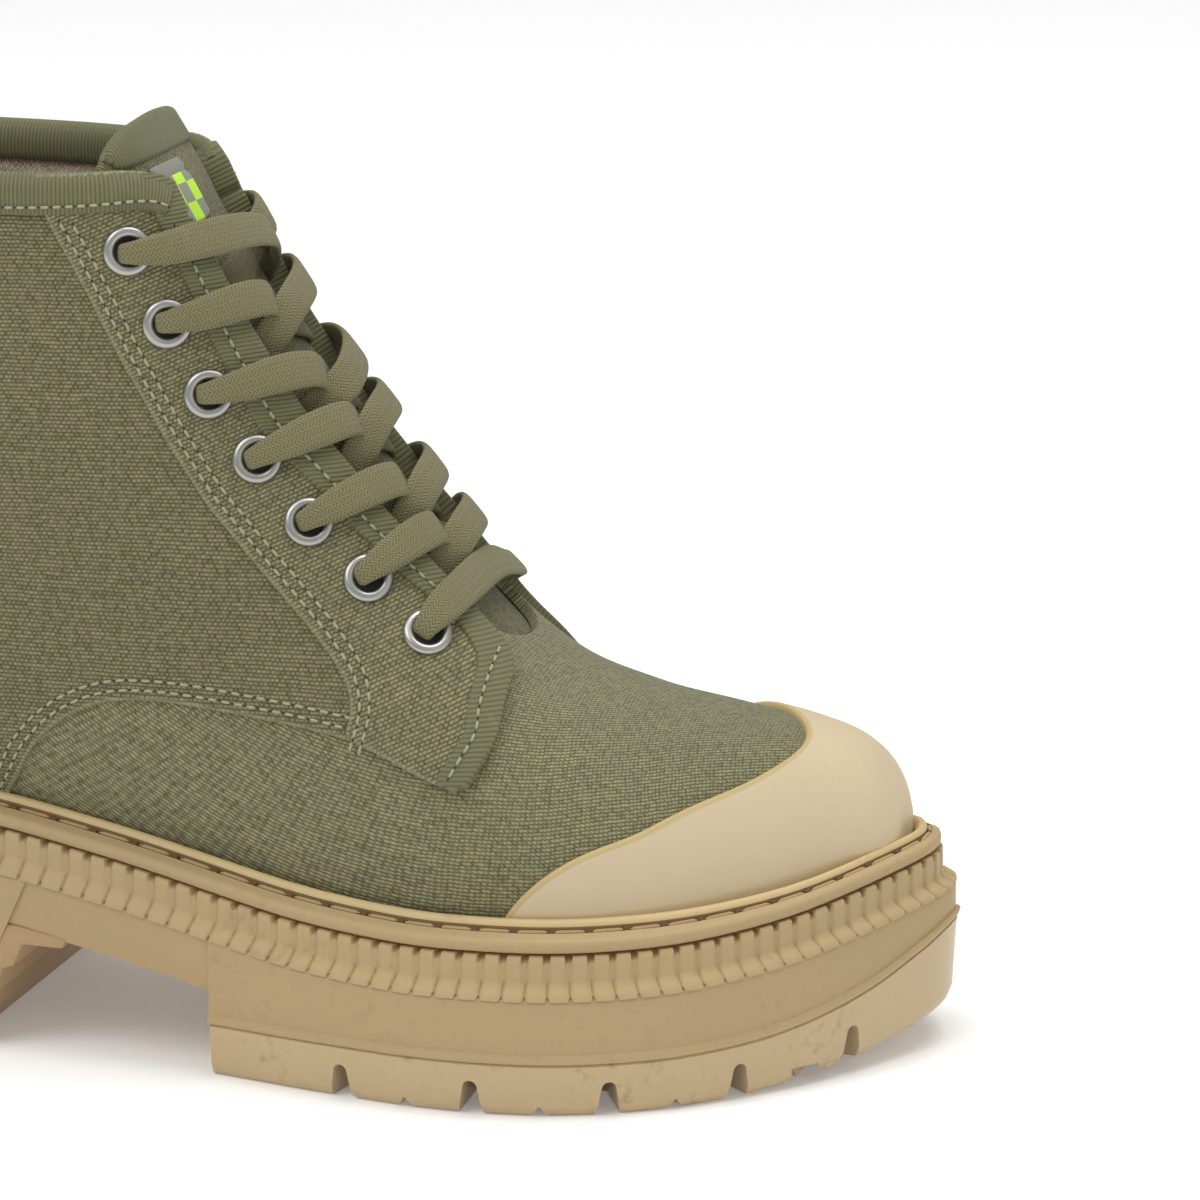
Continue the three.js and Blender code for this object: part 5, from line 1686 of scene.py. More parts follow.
@dataclass
class Sole(SubAssembly):
    """Midsole, ribbed band, welt with its thread, and the two gum outsoles."""

    ring_points: int = 1200
    tooth_phases: tuple = (0.0, 0.06, 0.33, 0.56, 0.61, 0.68, 0.74, 0.8, 0.83, 0.86, 0.94)
    thread_pitch: float = 8.6
    notch: Notch = field(default_factory=lambda: Notch(6.4, 3.0, 7.2, 17.0))
    nick: Notch = field(default_factory=lambda: Notch(5.0, 0.8, 2.2, 8.0))
    notch_pitch: float = 14.0
    toe_welt: float = 1.7
    breast_sides: tuple = (-40.2, 38.6)

    def build(self) -> None:
        """Builds and places all pieces of the sole."""
        self._midsole()
        self._ribbed_band()
        self._welt()
        self._outsoles()
        self._breast()

    def ring(self, inset: Array | float, height: float, rise: Level, shares: Array | None = None) -> Array:
        """Returns a ring of points at an inset and a height above a rise."""
        if shares is None:
            shares = np.arange(self.ring_points) / self.ring_points
        flat = SOLE.outline(shares, inset)
        return np.column_stack([flat, height + rise(flat[:, 0])])

    def _midsole(self) -> None:
        """Builds the slab under the foot and the two blocks below it."""
        top, bed = SOLE.block_top, SOLE.footbed
        flange = SOLE.outsole_depth + SOLE.gap
        slab = Piece()
        below = self.ring(2.3, SOLE.outsole_depth + 2, SOLE.footbed_rise)
        edge = self.ring(2.3, flange + 1, SOLE.flange_rise)
        below[:, 2] = np.maximum(below[:, 2], edge[:, 2])
        rounded = self.ring(1.5, SOLE.outsole_depth + 3.5, SOLE.footbed_rise)
        rounded[:, 2] = np.maximum(rounded[:, 2], edge[:, 2] + 1)
        stack(
            slab,
            [
                below,
                rounded,
                self.ring(1.5, top, SOLE.footbed_rise),
                self.ring(4.7, top + 2.5, SOLE.footbed_rise),
                self.ring(7.3, top + 2.5, SOLE.footbed_rise),
                self.ring(7.3, bed - SOLE.gap, SOLE.footbed_rise),
            ],
        )
        piece = slab.finish("midsole_slab", self.library.get(Look.MIDSOLE))
        self.place(piece, "midsole_foam", "midsole")
        for name, front in (("midsole_forefoot_block", True), ("midsole_heel_block", False)):
            block = Piece()
            stack(
                block,
                [
                    self.ring(SOLE.wall_inset, flange - 0.3, SOLE.flange_rise),
                    self.ring(0.15, flange, SOLE.flange_rise),
                    self.ring(-0.1, flange + 0.6, SOLE.flange_rise),
                    self.ring(0.2, flange + 1.2, SOLE.flange_rise),
                    self.ring(0.85, flange + 1.8, SOLE.flange_rise),
                    self.ring(SOLE.wall_inset, flange + 3, SOLE.flange_rise),
                    self.ring(SOLE.wall_inset, top - 1, SOLE.footbed_rise),
                    self.ring(1.2, top, SOLE.footbed_rise),
                    self.ring(4.7, top + 2.4, SOLE.footbed_rise),
                ],
            )
            piece = block.finish(name, self.library.get(Look.MIDSOLE))
            self._trim(piece, front, 0.0)
            self.place(piece, "midsole_foam")

    def _trim(self, piece: bpy.types.Object, front: bool, gap: float) -> None:
        """Cuts a ring solid off at the arch, for the forefoot or for the heel."""
        select_only(piece)
        bpy.ops.object.mode_set(mode="EDIT")
        bpy.ops.mesh.select_all(action="SELECT")
        shift = Vector(ORIGIN_SHIFT)
        if front:
            place, away = Vector((SOLE.forefoot_start + gap, 0, 0)), Vector((1, 0, 0))
        else:
            place = Vector((SOLE.heel_end - SOLE.breast_lean - gap, 0, 0))
            away = Vector((-SOLE.footbed, 0, SOLE.breast_lean)).normalized()
        bpy.ops.mesh.bisect(plane_co=(place + shift) * MM, plane_no=away, use_fill=True, clear_inner=True)
        bpy.ops.object.mode_set(mode="OBJECT")
        sharpen(piece, 40.0)

    def _tooth_shares(self) -> tuple[Array, Array]:
        """Returns shares round the outline with each one's phase in its tooth."""
        teeth = round(SOLE.run[-1] / SOLE.rib_pitch)
        phases = np.tile(self.tooth_phases, teeth)
        starts = np.repeat(np.arange(teeth), len(self.tooth_phases))
        return (starts + phases) / teeth, phases

    def _ribbed_band(self) -> None:
        """Builds the upright ribs and the sloping tongues below them."""
        shares, phase = self._tooth_shares()
        pocket = 0.75 * smooth_step(phase, 0.61, 0.68) * (1 - smooth_step(phase, 0.94, 1.0))
        groove = np.exp(-(((phase - 0.83) / 0.045) ** 2))
        corner = smooth_step(np.abs((phase - 0.33 + 0.5) % 1.0 - 0.5), 0.36, 0.5)
        ribs = SOLE.rib_bottom
        rows = [
            (np.full_like(phase, 5.5), ribs - 2.9 + 0 * phase),
            (1.5 + 0.7 * groove, ribs - 3.3 + 0.9 * corner),
            (0.75 + 0.9 * groove, ribs - 3.0 + 0.8 * corner),
            (0.8 + 0.9 * groove, ribs - 2.4 + 0.4 * corner),
            (2.1 + 0.75 * groove + 0.2 * pocket, ribs - 1.2 + 0 * phase),
            (3.2 + 0.5 * groove + 0.35 * pocket, ribs - 0.3 + 0 * phase),
            (SOLE.rib_inset + 0.42 * pocket + 0.15 * groove, ribs + 0.5 + 0 * phase),
            (SOLE.rib_inset + 0.46 * pocket + 0.15 * groove, ribs + SOLE.rib_height - 1.7 + 0 * phase),
            (3.7 + 1.5 * pocket, ribs + SOLE.rib_height - 0.5 - 0.9 * pocket),
            (4.2 + 2.2 * pocket, ribs + SOLE.rib_height - 0.1 - 0.8 * pocket),
            (np.full_like(phase, 7.1), ribs + SOLE.rib_height - 0.1 + 0 * phase),
        ]
        rings = []
        for inset, height in rows:
            flat = SOLE.outline(shares, inset)
            rings.append(np.column_stack([flat, height + SOLE.footbed_rise(flat[:, 0])]))
        band = Piece()
        loop_sweep(band, rings, [0] * len(rings), shares * SOLE.run[-1])
        piece = band.finish("ribbed_band_moulding", self.library.get(Look.RIBS), 55)
        self.place(piece, "midsole_foam", "ribbed_band")

    def _welt(self) -> None:
        """Builds the lip, its groove with a thread, and the bead against the upper. The groove's darker
        colour is painted shade.
        """
        profile = [
            (7.0, 0.0, 0),
            (4.6, 0.1, 0),
            (4.1, 0.5, 0),
            (4.0, 1.5, 0),
            (4.25, 2.3, 0),
            (5.0, 2.75, 0),
            (6.0, 2.9, 0),
            (7.1, 3.1, 0),
            (7.6, 3.25, 0),
            (7.9, 2.8, 2),
            (8.2, 2.1, 2),
            (8.9, 2.1, 2),
            (9.0, 3.0, 2),
            (9.08, 3.6, 2),
            (9.15, 4.1, 1),
            (9.65, 4.95, 1),
            (10.5, 5.35, 1),
            (11.4, 5.0, 1),
            (12.2, 4.2, 1),
            (12.6, 3.2, 1),
            (12.6, 0.0, 1),
        ]
        shares = np.arange(self.ring_points) / self.ring_points
        rings = [
            self.ring(self._welt_inset(inset, shares), SOLE.footbed + z, SOLE.footbed_rise)
            for inset, z, _ in profile
        ]
        welt = Piece()
        loop_sweep(welt, rings, [slot for _, _, slot in profile], shares * SOLE.run[-1])
        # Slot 2, the groove between lip and bead, takes a dark colour that is painted shade.
        piece = welt.finish("welt_and_bead", self.library.get(Look.MIDSOLE, Look.BEAD, Look.GROOVE), 60)
        self.place(piece, "midsole_foam", "welt")
        count = round(SOLE.run[-1] / self.thread_pitch)
        shares = (np.arange(count) + 0.5) / count
        thread = Piece()
        # The second rods sit between the stitches; their dark colour is painted shade in the holes.
        rods = ((0.0, 3.7, 0.44, 3.2, 0), (0.5 / count, 1.0, 0.6, 3.15, 1))
        for offset, half, radius, lift, slot in rods:
            inset = self._welt_inset(8.55, shares + offset)
            places = self.ring(inset, SOLE.footbed + lift, SOLE.footbed_rise, shares + offset)
            ahead = self.ring(inset, SOLE.footbed + lift, SOLE.footbed_rise, shares + offset + 0.001)
            ups = np.tile([0.0, 0.0, 1.0], (count, 1))
            capsules(thread, places, unit(ahead - places), ups, half, radius, slot)
        piece = thread.finish("welt_thread", self.library.get(Look.WELT_THREAD, Look.WELT_HOLE))
        self.place(piece, "midsole_foam")

    def _welt_inset(self, inset: float, shares: Array) -> Array:
        """Returns an inset of the welt, which is a little wider round the toe."""
        x = SOLE.outline(shares)[:, 0]
        wider = self.toe_welt * smooth_step(x / SOLE.length, 0.3, 0.46)
        return inset - wider * min(max((inset - 5) / 3, 0), 1)

    def _outsoles(self) -> None:
        """Builds the two outsoles and cuts the notches and grooves of the tread."""
        for name, front in (("outsole_forefoot", True), ("outsole_heel", False)):
            form = Piece()
            stack(
                form,
                [
                    self.ring(3.4, 0, SOLE.tread_rise),
                    self.ring(2.3, 0.7, SOLE.tread_rise),
                    self.ring(1.4, 2.6, SOLE.tread_rise),
                    self.ring(0.75, SOLE.outsole_depth - 2.2, SOLE.flange_rise),
                    self.ring(0.5, SOLE.outsole_depth - 0.4, SOLE.flange_rise),
                    self.ring(0.8, SOLE.outsole_depth, SOLE.flange_rise),
                ],
            )
            piece = form.finish(name + "_gum", self.library.get(Look.GUM))
            self._trim(piece, front, SOLE.gap)
            self._cut_tread(piece, front)
            self.place(piece, "gum_rubber", name)

    def _breast(self) -> None:
        """Builds the stepped gum layer on the heel's front face."""
        corners = [(x, y, z) for y in self.breast_sides for x, z in BREAST]
        count = len(BREAST)
        faces = [tuple(range(count)), tuple(range(2 * count - 1, count - 1, -1))]
        faces += [(i, i + count, (i + 1) % count + count, (i + 1) % count) for i in range(count)]
        mesh = bpy.data.meshes.new("heel_breast_gum")
        mesh.from_pydata(((np.array(corners) + ORIGIN_SHIFT) * MM).tolist(), [], faces)
        mesh.materials.append(self.library.get(Look.BREAST)[0])
        piece = bpy.data.objects.new("heel_breast_gum", mesh)
        bpy.context.scene.collection.objects.link(piece)
        select_only(piece)
        bpy.ops.object.mode_set(mode="EDIT")
        bpy.ops.mesh.select_all(action="SELECT")
        bpy.ops.mesh.normals_make_consistent(inside=False)
        bpy.ops.object.mode_set(mode="OBJECT")
        soft = piece.modifiers.new("soft edges", "BEVEL")
        soft.width = 0.5 * MM
        soft.segments = 2
        bpy.ops.object.modifier_apply(modifier=soft.name)
        sharpen(piece, 35)
        self.place(piece, "gum_rubber")

    def _cut_tread(self, piece: bpy.types.Object, front: bool) -> None:
        """Subtracts the side notches, the nicks between them and the cross grooves."""
        cutters = []
        length = SOLE.run[-1]
        plan = FOREFOOT_TREAD if front else HEEL_TREAD
        for i in range(plan.cuts):
            kind = self.notch if i % 2 == 0 else self.nick
            for mirrored in (False, True):
                place = (plan.start + i * self.notch_pitch) / length
                share = 1 - place if mirrored else place
                flat = SOLE.outline(np.array([share, share + 0.002]))
                run = flat[1] - flat[0]
                turn = math.atan2(run[1], run[0])
                rise = float(SOLE.tread_rise(flat[0, :1])[0])
                cutters.append(self._slot_cutter(kind, flat[0], turn, rise))
        for i in range(plan.grooves):
            x = plan.first_groove + plan.groove_pitch * i
            cutters.append(self._groove_cutter(x, plan.groove_half))
        select_only(cutters[0])
        for cutter in cutters:
            cutter.select_set(True)
        bpy.ops.object.join()
        tool = bpy.context.view_layer.objects.active
        select_only(piece)
        cut = piece.modifiers.new("tread", "BOOLEAN")
        cut.object = tool
        cut.operation = "DIFFERENCE"
        cut.solver = "EXACT"
        cut.use_self = True
        bpy.ops.object.modifier_apply(modifier=cut.name)
        bpy.data.objects.remove(tool)
        sharpen(piece, 35.0)

    def _slot_cutter(self, kind: Notch, place: Array, turn: float, rise: float) -> bpy.types.Object:
        """Returns a cutter with an arched top that reaches in from the outline."""
        bpy.ops.mesh.primitive_cylinder_add(vertices=24, radius=1, depth=1)
        cutter = bpy.context.object
        mesh = cutter.data
        for vertex in mesh.vertices:
            if vertex.co.y < 0:
                vertex.co.y = -(kind.depth - kind.slot / 2) / (kind.slot / 2) - 2
                vertex.co.x *= kind.mouth / kind.slot
        scale = Matrix.Diagonal((kind.slot / 2, kind.slot / 2, 2 * kind.reach, 1))
        lift = Matrix.Translation((0, 0, kind.depth - kind.slot / 2 + rise))
        where = Matrix.Translation((place[0], place[1], 0)) @ Matrix.Rotation(turn, 4, "Z")
        mesh.transform(self._to_scene() @ where @ lift @ Matrix.Rotation(math.pi / 2, 4, "X") @ scale)
        return cutter

    def _groove_cutter(self, x: float, half: float) -> bpy.types.Object:
        """Returns a cutter for one cross groove of the tread."""
        bpy.ops.mesh.primitive_cube_add(size=1)
        cutter = bpy.context.object
        scale = Matrix.Diagonal((4.4, 2 * half, 9, 1))
        cutter.data.transform(self._to_scene() @ Matrix.Translation((x - 3, 0, 0)) @ scale)
        return cutter

    def _to_scene(self) -> Matrix:
        """Returns the matrix from millimetres in the last's frame to the scene."""
        return Matrix.Scale(MM, 4) @ Matrix.Translation(Vector(ORIGIN_SHIFT))


@dataclass
class Shell(SubAssembly):
    """The canvas upper with its panels, cap, binding, stitches and tongue."""

    skin: Skin = field(default_factory=lambda: Skin(76, 140, 76))
    edges: Edges = field(init=False)

    def __post_init__(self) -> None:
        """Works out the distances to the seams."""
        self.edges = Edges(self.skin)

    def build(self) -> None:
        """Builds and places all pieces of the upper."""
        edges = self.edges
        skin = self.skin
        opening = np.minimum(edges.collar(), edges.throat())
        quarter = np.minimum(edges.quarters(), opening)
        stay = np.minimum(np.minimum(edges.eyestays(), edges.quarters()), opening)
        corner = np.where(edges.y > 0, 1.9, 1.0) * UPPER.flap_round
        into_throat = np.maximum(corner - edges.throat(), 0)
        into_front = np.maximum(corner - self._behind_flap_front(), 0)
        edge_in = corner - np.hypot(into_throat, into_front)
        quarter = np.minimum(quarter, edge_in)
        stay = np.minimum(stay, edge_in)
        tape = np.minimum(np.minimum(stay, quarter), UPPER.throat_binding - edge_in)
        self._panel("vamp_canvas", opening, 0.0, -UPPER.wall, 0.2, Look.VAMP, True, "upper")
        self._panel("quarter_canvas", quarter, UPPER.quarter_step, -0.3, 0.5, Look.QUARTER, False)
        self._panel("eyestay_canvas", stay, UPPER.eyestay_top, 0.4, 0.5, Look.FLAP, False)
        self._panel("throat_tape", tape, UPPER.tape_top, -2.6, 0.6, Look.TAPE, False)
        self._cap()
        self._back_strip()
        self._collar()
        self._tongue()
        self._stitches()
        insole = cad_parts["insole"]
        insole.data.materials.clear()
        insole.data.materials.append(self.library.get(Look.LINING)[0])

    def _behind_flap_front(self) -> Array:
        """Returns distances behind the flap's front edge."""
        front = side_line(FLAP_FRONT)
        corners = [(front[-1, 0], FAR), (-FAR, FAR), (-FAR, -FAR), (front[0, 0], -FAR)]
        return self.edges.in_side_view(np.concatenate([front, corners]))

    def _panel(
        self,
        name: str,
        inside: Array,
        top: float,
        bottom: float,
        radius: float,
        look: Look,
        over: bool,
        *nodes: str,
    ) -> bpy.types.Object:
        """Builds a panel where inside is positive. See panel for the heights."""
        cloth = self.skin.over_cloth if over else self.skin.side_cloth
        made = Piece()
        panel(made, cut_skin(self.skin, inside, cloth), top, bottom, radius, bool(nodes))
        looks = (look, Look.LINING) if nodes else (look,)
        piece = made.finish(name, self.library.get(*looks), 70)
        return self.place(piece, "canvas", *nodes)

    def _cap(self) -> None:
        """Builds the toe cap, thinner towards its edge, with a thin rim."""
        inside = softened(self.edges.toe_cap(), 40)
        cut = cut_skin(self.skin, inside, self.skin.over_cloth)
        made = Piece()
        panel(made, cut, UPPER.cap, -0.3, 0.7)
        piece = made.finish("toe_cap_rubber", self.library.get(Look.CAP), 70)
        self.place(piece, "cap_rubber", "toe_cap")

    def _back_strip(self) -> None:
        """Builds the strip that covers the heel's back seam."""
        edges = self.edges
        behind = LAST.heel_x + 40 - edges.x
        inside = np.minimum(9 - np.abs(edges.y), np.minimum(edges.collar(3), behind))
        self._panel("back_strip", inside, UPPER.eyestay_top, 0.4, 0.5, Look.QUARTER, False)

    def _collar_path(self) -> tuple[Array, Array, Array]:
        """Returns points of the collar's edge, normals and ways down, from throat to throat."""
        depth = self.edges.collar()
        throat = self.edges.throat()
        p, n = self.skin.points, self.skin.normals
        middle, last = self.skin.middle, self.skin.shape[1] - 1
        columns = [*range(middle, -1, -1), *range(last - 1, middle - 1, -1)]
        found = []
        for j in columns:
            below = np.nonzero(depth[:, j] >= 0)[0]
            i = max(int(below[0]) - 1, 0)
            t = depth[i, j] / (depth[i, j] - depth[i + 1, j])
            down = unit(p[i + 3, j] - p[i, j])
            open_by = blend(throat[i, j], throat[i + 1, j], t)
            found.append((blend(p[i, j], p[i + 1, j], t), blend(n[i, j], n[i + 1, j], t), down, open_by))
        kept = [k for k, row in enumerate(found) if row[3] >= 0]
        rows = [found[k] for k in kept]
        for end, step, spot in ((kept[0], -1, 0), (kept[-1], 1, len(rows))):
            a, b = found[end], found[end + step]
            t = a[3] / (a[3] - b[3])
            rows.insert(spot, tuple(blend(x, y, t) for x, y in zip(a, b)))
        points = np.array([row[0] for row in rows])
        normals = np.array([row[1] for row in rows])
        downs = np.array([row[2] for row in rows])
        line = spaced(np.concatenate([points, normals, downs], 1), 1.6)
        return line[:, :3], unit(line[:, 3:6]), unit(line[:, 6:])

    def _collar(self) -> None:
        """Builds the padded binding round the collar, with its stitches."""
        points, normals, downs = self._collar_path()
        run = unit(np.gradient(points, axis=0))
        downs = unit(downs - run * np.sum(downs * run, 1, keepdims=True))
        downs *= np.sign(np.sum(downs * (0, 0, -1), 1, keepdims=True))
        outs = unit(np.cross(run, downs))
        outs *= np.sign(np.sum(outs * normals, 1, keepdims=True))
        section = np.array(
            [
                (UPPER.binding_depth, 1.1),
                (7.4, 1.9),
                (6.6, 2.35),
                (4.5, 2.75),
                (2.2, 2.75),
                (0.6, 2.3),
                (-0.5, 1.2),
                (-0.9, -0.3),
                (-0.5, -2.0),
                (0.8, -3.3),
                (3.0, -3.9),
                (5.5, -3.9),
                (7.2, -3.3),
                (UPPER.binding_depth, -2.0),
            ]
        )
        made = Piece()
        sweep(made, points, downs, outs, section)
        piece = made.finish("collar_tape", self.library.get(Look.TAPE), 60)
        self.place(piece, "canvas_tape", "collar_binding")
        seam = Piece()
        stitch_run(seam, points + downs * 5.9 + outs * 2.5, outs, 2.4)
        piece = seam.finish("collar_stitches", self.library.get(Look.THREAD, Look.NEEDLE))
        self.place(piece, "canvas_tape")

    def _tongue(self) -> None:
        """Builds the tongue, its ribbed top band and the check tape below it."""
        inside = self.edges.tongue()
        made = Piece()
        cut = cut_skin(self.skin, inside, self.skin.over_cloth)
        panel(made, cut, UPPER.tongue_top, UPPER.tongue_top - UPPER.tongue_wall, 1.0)
        piece = made.finish("tongue_canvas", self.library.get(Look.TONGUE), 70)
        self.place(piece, "canvas", "tongue")
        top = np.array(tongue_top_line())
        run = (top[0] - top[1]) / np.linalg.norm(top[0] - top[1])
        below = -((self.edges.x - top[0, 0]) * -run[1] + (self.edges.z - top[0, 1]) * run[0])
        band = np.minimum(inside, 7 - below)
        made = Piece()
        panel(made, cut_skin(self.skin, band, self.skin.over_cloth), -1.7, -6.2, 1.0)
        piece = made.finish("tongue_band", self.library.get(Look.TAPE), 70)
        self.place(piece, "canvas")
        across = self.edges.y
        beside = np.minimum(across + 19, -0.5 - across)
        labels = (("check_tape", Look.LABEL, 13, 23), ("label_edge", Look.LABEL_EDGE, 10, 12.6))
        for name, look, low, high in labels:
            patch = np.minimum(np.minimum(below - low, high - below), beside)
            patch = np.minimum(inside, patch)
            made = Piece()
            panel(made, cut_skin(self.skin, patch, self.skin.over_cloth), -1.9, -3.0, 0.3)
            piece = made.finish(name, self.library.get(look), 70)
            self.place(piece, "canvas")

    def _stitches(self) -> None:
        """Builds the rows along the quarter's edge, the eyestay's seam and the tape."""
        edge = np.concatenate([side_line(QUARTER_EDGE), side_line(FLAP_FOOT)])
        seam = side_line(EYESTAY_SEAM)
        front = side_line(FLAP_FRONT)
        rows = [
            (moved_line(edge, 1.6), UPPER.quarter_step),
            (moved_line(edge, 3.6), UPPER.quarter_step),
            (moved_line(seam, 1.6), UPPER.eyestay_top),
            (moved_line(seam, 3.6), UPPER.eyestay_top),
            (moved_line(front, 3.4), UPPER.tape_top),
        ]
        made = Piece()
        for line, height in rows:
            for side in SIDES:
                self._seam(made, line, side, height)
        for side in SIDES:
            self._throat_seam(made, side)
        piece = made.finish("upper_stitches", self.library.get(Look.THREAD, Look.NEEDLE))
        self.place(piece, "canvas")

    def _seam(self, made: Piece, line: Array, side: int, height: float) -> None:
        """Adds a row of stitches on one side along a line of the side view."""
        line = spaced(line, 1.5)
        bed = SOLE.feather + SOLE.footbed_rise(line[:, 0]) + 2
        crown = np.interp(line[:, 0], *self._ridge())
        under = 3 if side == LATERAL else 12
        kept = line[(line[:, 1] > bed) & (line[:, 1] < np.minimum(crown - under, LAST.collar_top - 8))]
        points, normals = self.skin.line_places(kept, side)
        stitch_run(made, points + normals * (height + 0.02), normals)

    def _ridge(self) -> tuple[Array, Array]:
        """Returns x and z along the instep, from the ankle to the toe."""
        ridge = self.skin.points[:, self.skin.middle]
        return ridge[:, 0], ridge[:, 2]

    def _throat_seam(self, made: Piece, side: int) -> None:
        """Adds the stitches of the throat's tape on one side."""
        ridge = self.skin.points[:, self.skin.middle]
        inside = (ridge[:, 2] < LAST.collar_top - 10) & (ridge[:, 0] < (46 if side == LATERAL else 34))
        rows = np.nonzero(inside)[0]
        places = [self.skin.row_place(float(row), side * (UPPER.throat_width / 2 + 3.4)) for row in rows]
        points = np.array([p.point for p in places])
        normals = np.array([p.normal for p in places])
        stitch_run(made, points + normals * (UPPER.tape_top + 0.02), normals)


@dataclass
class Closure(SubAssembly):
    """Eyelets and the lace through them."""

    skin: Skin = field(default_factory=lambda: Skin(40, 80, 40))
    pairs: int = 7
    pitch: float = 16.2
    ring_outer: float = 10
    ring_bore: float = 5.4
    ring_height: float = 1.1
    lace_width: float = 7.7
    lace_thickness: float = 1.7
    arch: float = 2.6

    def build(self) -> None:
        """Builds and places the eyelets and the lace."""
        line = rounded_line([side_point(p) for p in EYELET_LINE], 40)
        run = np.concatenate([[0], np.cumsum(np.linalg.norm(np.diff(line, axis=0), axis=1))])
        at = np.arange(self.pairs) * self.pitch
        spots = np.stack([np.interp(at, run, line[:, k]) for k in range(2)], 1)
        sides = {LATERAL: "lateral", MEDIAL: "medial"}
        self.places = {side: [self.skin.side_place(x, z, side) for x, z in spots] for side in SIDES}
        model = self._eyelet_model()
        for side, name in sides.items():
            for i, place in enumerate(self.places[side]):
                self._set_eyelet(model, place, f"eyelet_{name}_{i + 1}")
        bpy.data.objects.remove(model)
        for level in range(self.pairs - 1):
            made = Piece()
            for side in SIDES:
                self._strand(made, level, side)
            piece = made.finish(f"lace_{level + 1}", self.library.get(Look.LACE), 60)
            self.place(piece, "lace", f"lace_crossing_{level + 1}")
        made = Piece()
        self._bar(made)
        piece = made.finish("lace_lowest", self.library.get(Look.LACE), 60)
        self.place(piece, "lace", "lace_bar")

    def _eyelet_model(self) -> bpy.types.Object:
        """Returns one eyelet at the origin, in millimetres, with a dark floor in its bore: a near-black
        disc that is painted shade.
        """
        middle = (self.ring_outer + self.ring_bore) / 4
        lip = (self.ring_outer - self.ring_bore) / 4
        bpy.ops.mesh.primitive_torus_add(
            major_radius=middle, minor_radius=lip, major_segments=36, minor_segments=12
        )
        ring = bpy.context.object
        ring.data.materials.append(self.library.get(Look.METAL)[0])
        bpy.ops.object.mode_set(mode="EDIT")
        bpy.ops.mesh.select_all(action="SELECT")
        bpy.ops.transform.resize(value=(1, 1, 0.85), center_override=(0, 0, 0))
        bpy.ops.object.mode_set(mode="OBJECT")
        # A near-black disc in the bore: painted shade inside the hole.
        bpy.ops.mesh.primitive_cylinder_add(vertices=24, radius=self.ring_bore / 2 + 0.2, depth=0.6)
        floor = bpy.context.object
        floor.data.materials.append(self.library.get(Look.HOLE)[0])
        select_only(ring)
        floor.select_set(True)
        bpy.ops.object.join()
        sharpen(ring, 60)
        return ring

    def _set_eyelet(self, model: bpy.types.Object, place: Place, node: str) -> None:
        """Copies the eyelet to its place."""
        mesh = model.data.copy()
        piece = bpy.data.objects.new(node + "_ring", mesh)
        bpy.context.scene.collection.objects.link(piece)
        stand = Vector(place.normal).to_track_quat("Z", "Y").to_matrix().to_4x4()
        spot = Vector(place.point + place.normal * (UPPER.eyestay_top + 0.25) + ORIGIN_SHIFT)
        mesh.transform(Matrix.Scale(MM, 4) @ Matrix.Translation(spot) @ stand)
        self.place(piece, "metal", node)

    @property
    def over_eyelet(self) -> float:
        """Returns the height of the lace's middle over an eyelet, above the last."""
        return UPPER.eyestay_top + 0.3 + self.ring_height + self.lace_thickness / 2 + 0.3

    @property
    def over_tape(self) -> float:
        """Returns the height of the lace's middle over the throat's tape, above the last."""
        return UPPER.tape_top + self.lace_thickness / 2 + 0.5

    def _stops(self, stops: list) -> tuple[Array, Array]:
        """Returns points and normals of stops given as a row, a y and a height."""
        points, normals = [], []
        for row, y, height in stops:
            place = self.skin.row_place(row, y)
            points.append(place.point + place.normal * height)
            normals.append(place.normal)
        return np.array(points), np.array(normals)

    def _ribbon(self, made: Piece, points: Array, normals: Array, narrow: Array) -> None:
        """Adds a flat woven lace through points.

        Args:
            made: The piece that it joins.
            points: Stops on its middle line.
            normals: Its upward directions at the stops.
            narrow: Its width at the stops, as a share of the full width.
        """
        line = rounded_line(np.column_stack([points, normals * 6, narrow * 3]), 12)
        line = spaced(line, 1.1)
        path, ups, share = line[:, :3], unit(line[:, 3:6]), line[:, 6] / 3
        run = unit(np.gradient(path, axis=0))
        across = unit(np.cross(run, ups))
        ups = unit(np.cross(across, run))
        angles = np.arange(16) * 2 * math.pi / 16
        flat = np.stack([np.cos(angles), np.sin(angles)], 1)
        flat = np.sign(flat) * np.abs(flat) ** np.array([0.55, 0.8])
        width = self.lace_width / 2 * share
        depth = self.lace_thickness / 2 * (1 + 0.9 * (1 - share))
        section = flat[None] * np.stack([width, depth], 1)[:, None]
        sweep(made, path, across, ups, section)

    def _strand(self, made: Piece, level: int, side: int) -> None:
        """Adds the strand that leaves an eyelet and dives under the far eyestay."""
        start, after = self.places[side][level], self.places[side][level + 1]
        half = UPPER.throat_width / 2
        end = 0.45 if level == self.pairs - 2 else 0.67
        y = float(start.point[1])
        over, edge = self.over_eyelet, self.over_tape

        def row(share: float) -> float:
            """Returns the row at a share of the way to the next eyelet."""
            return start.row + (after.row - start.row) * share

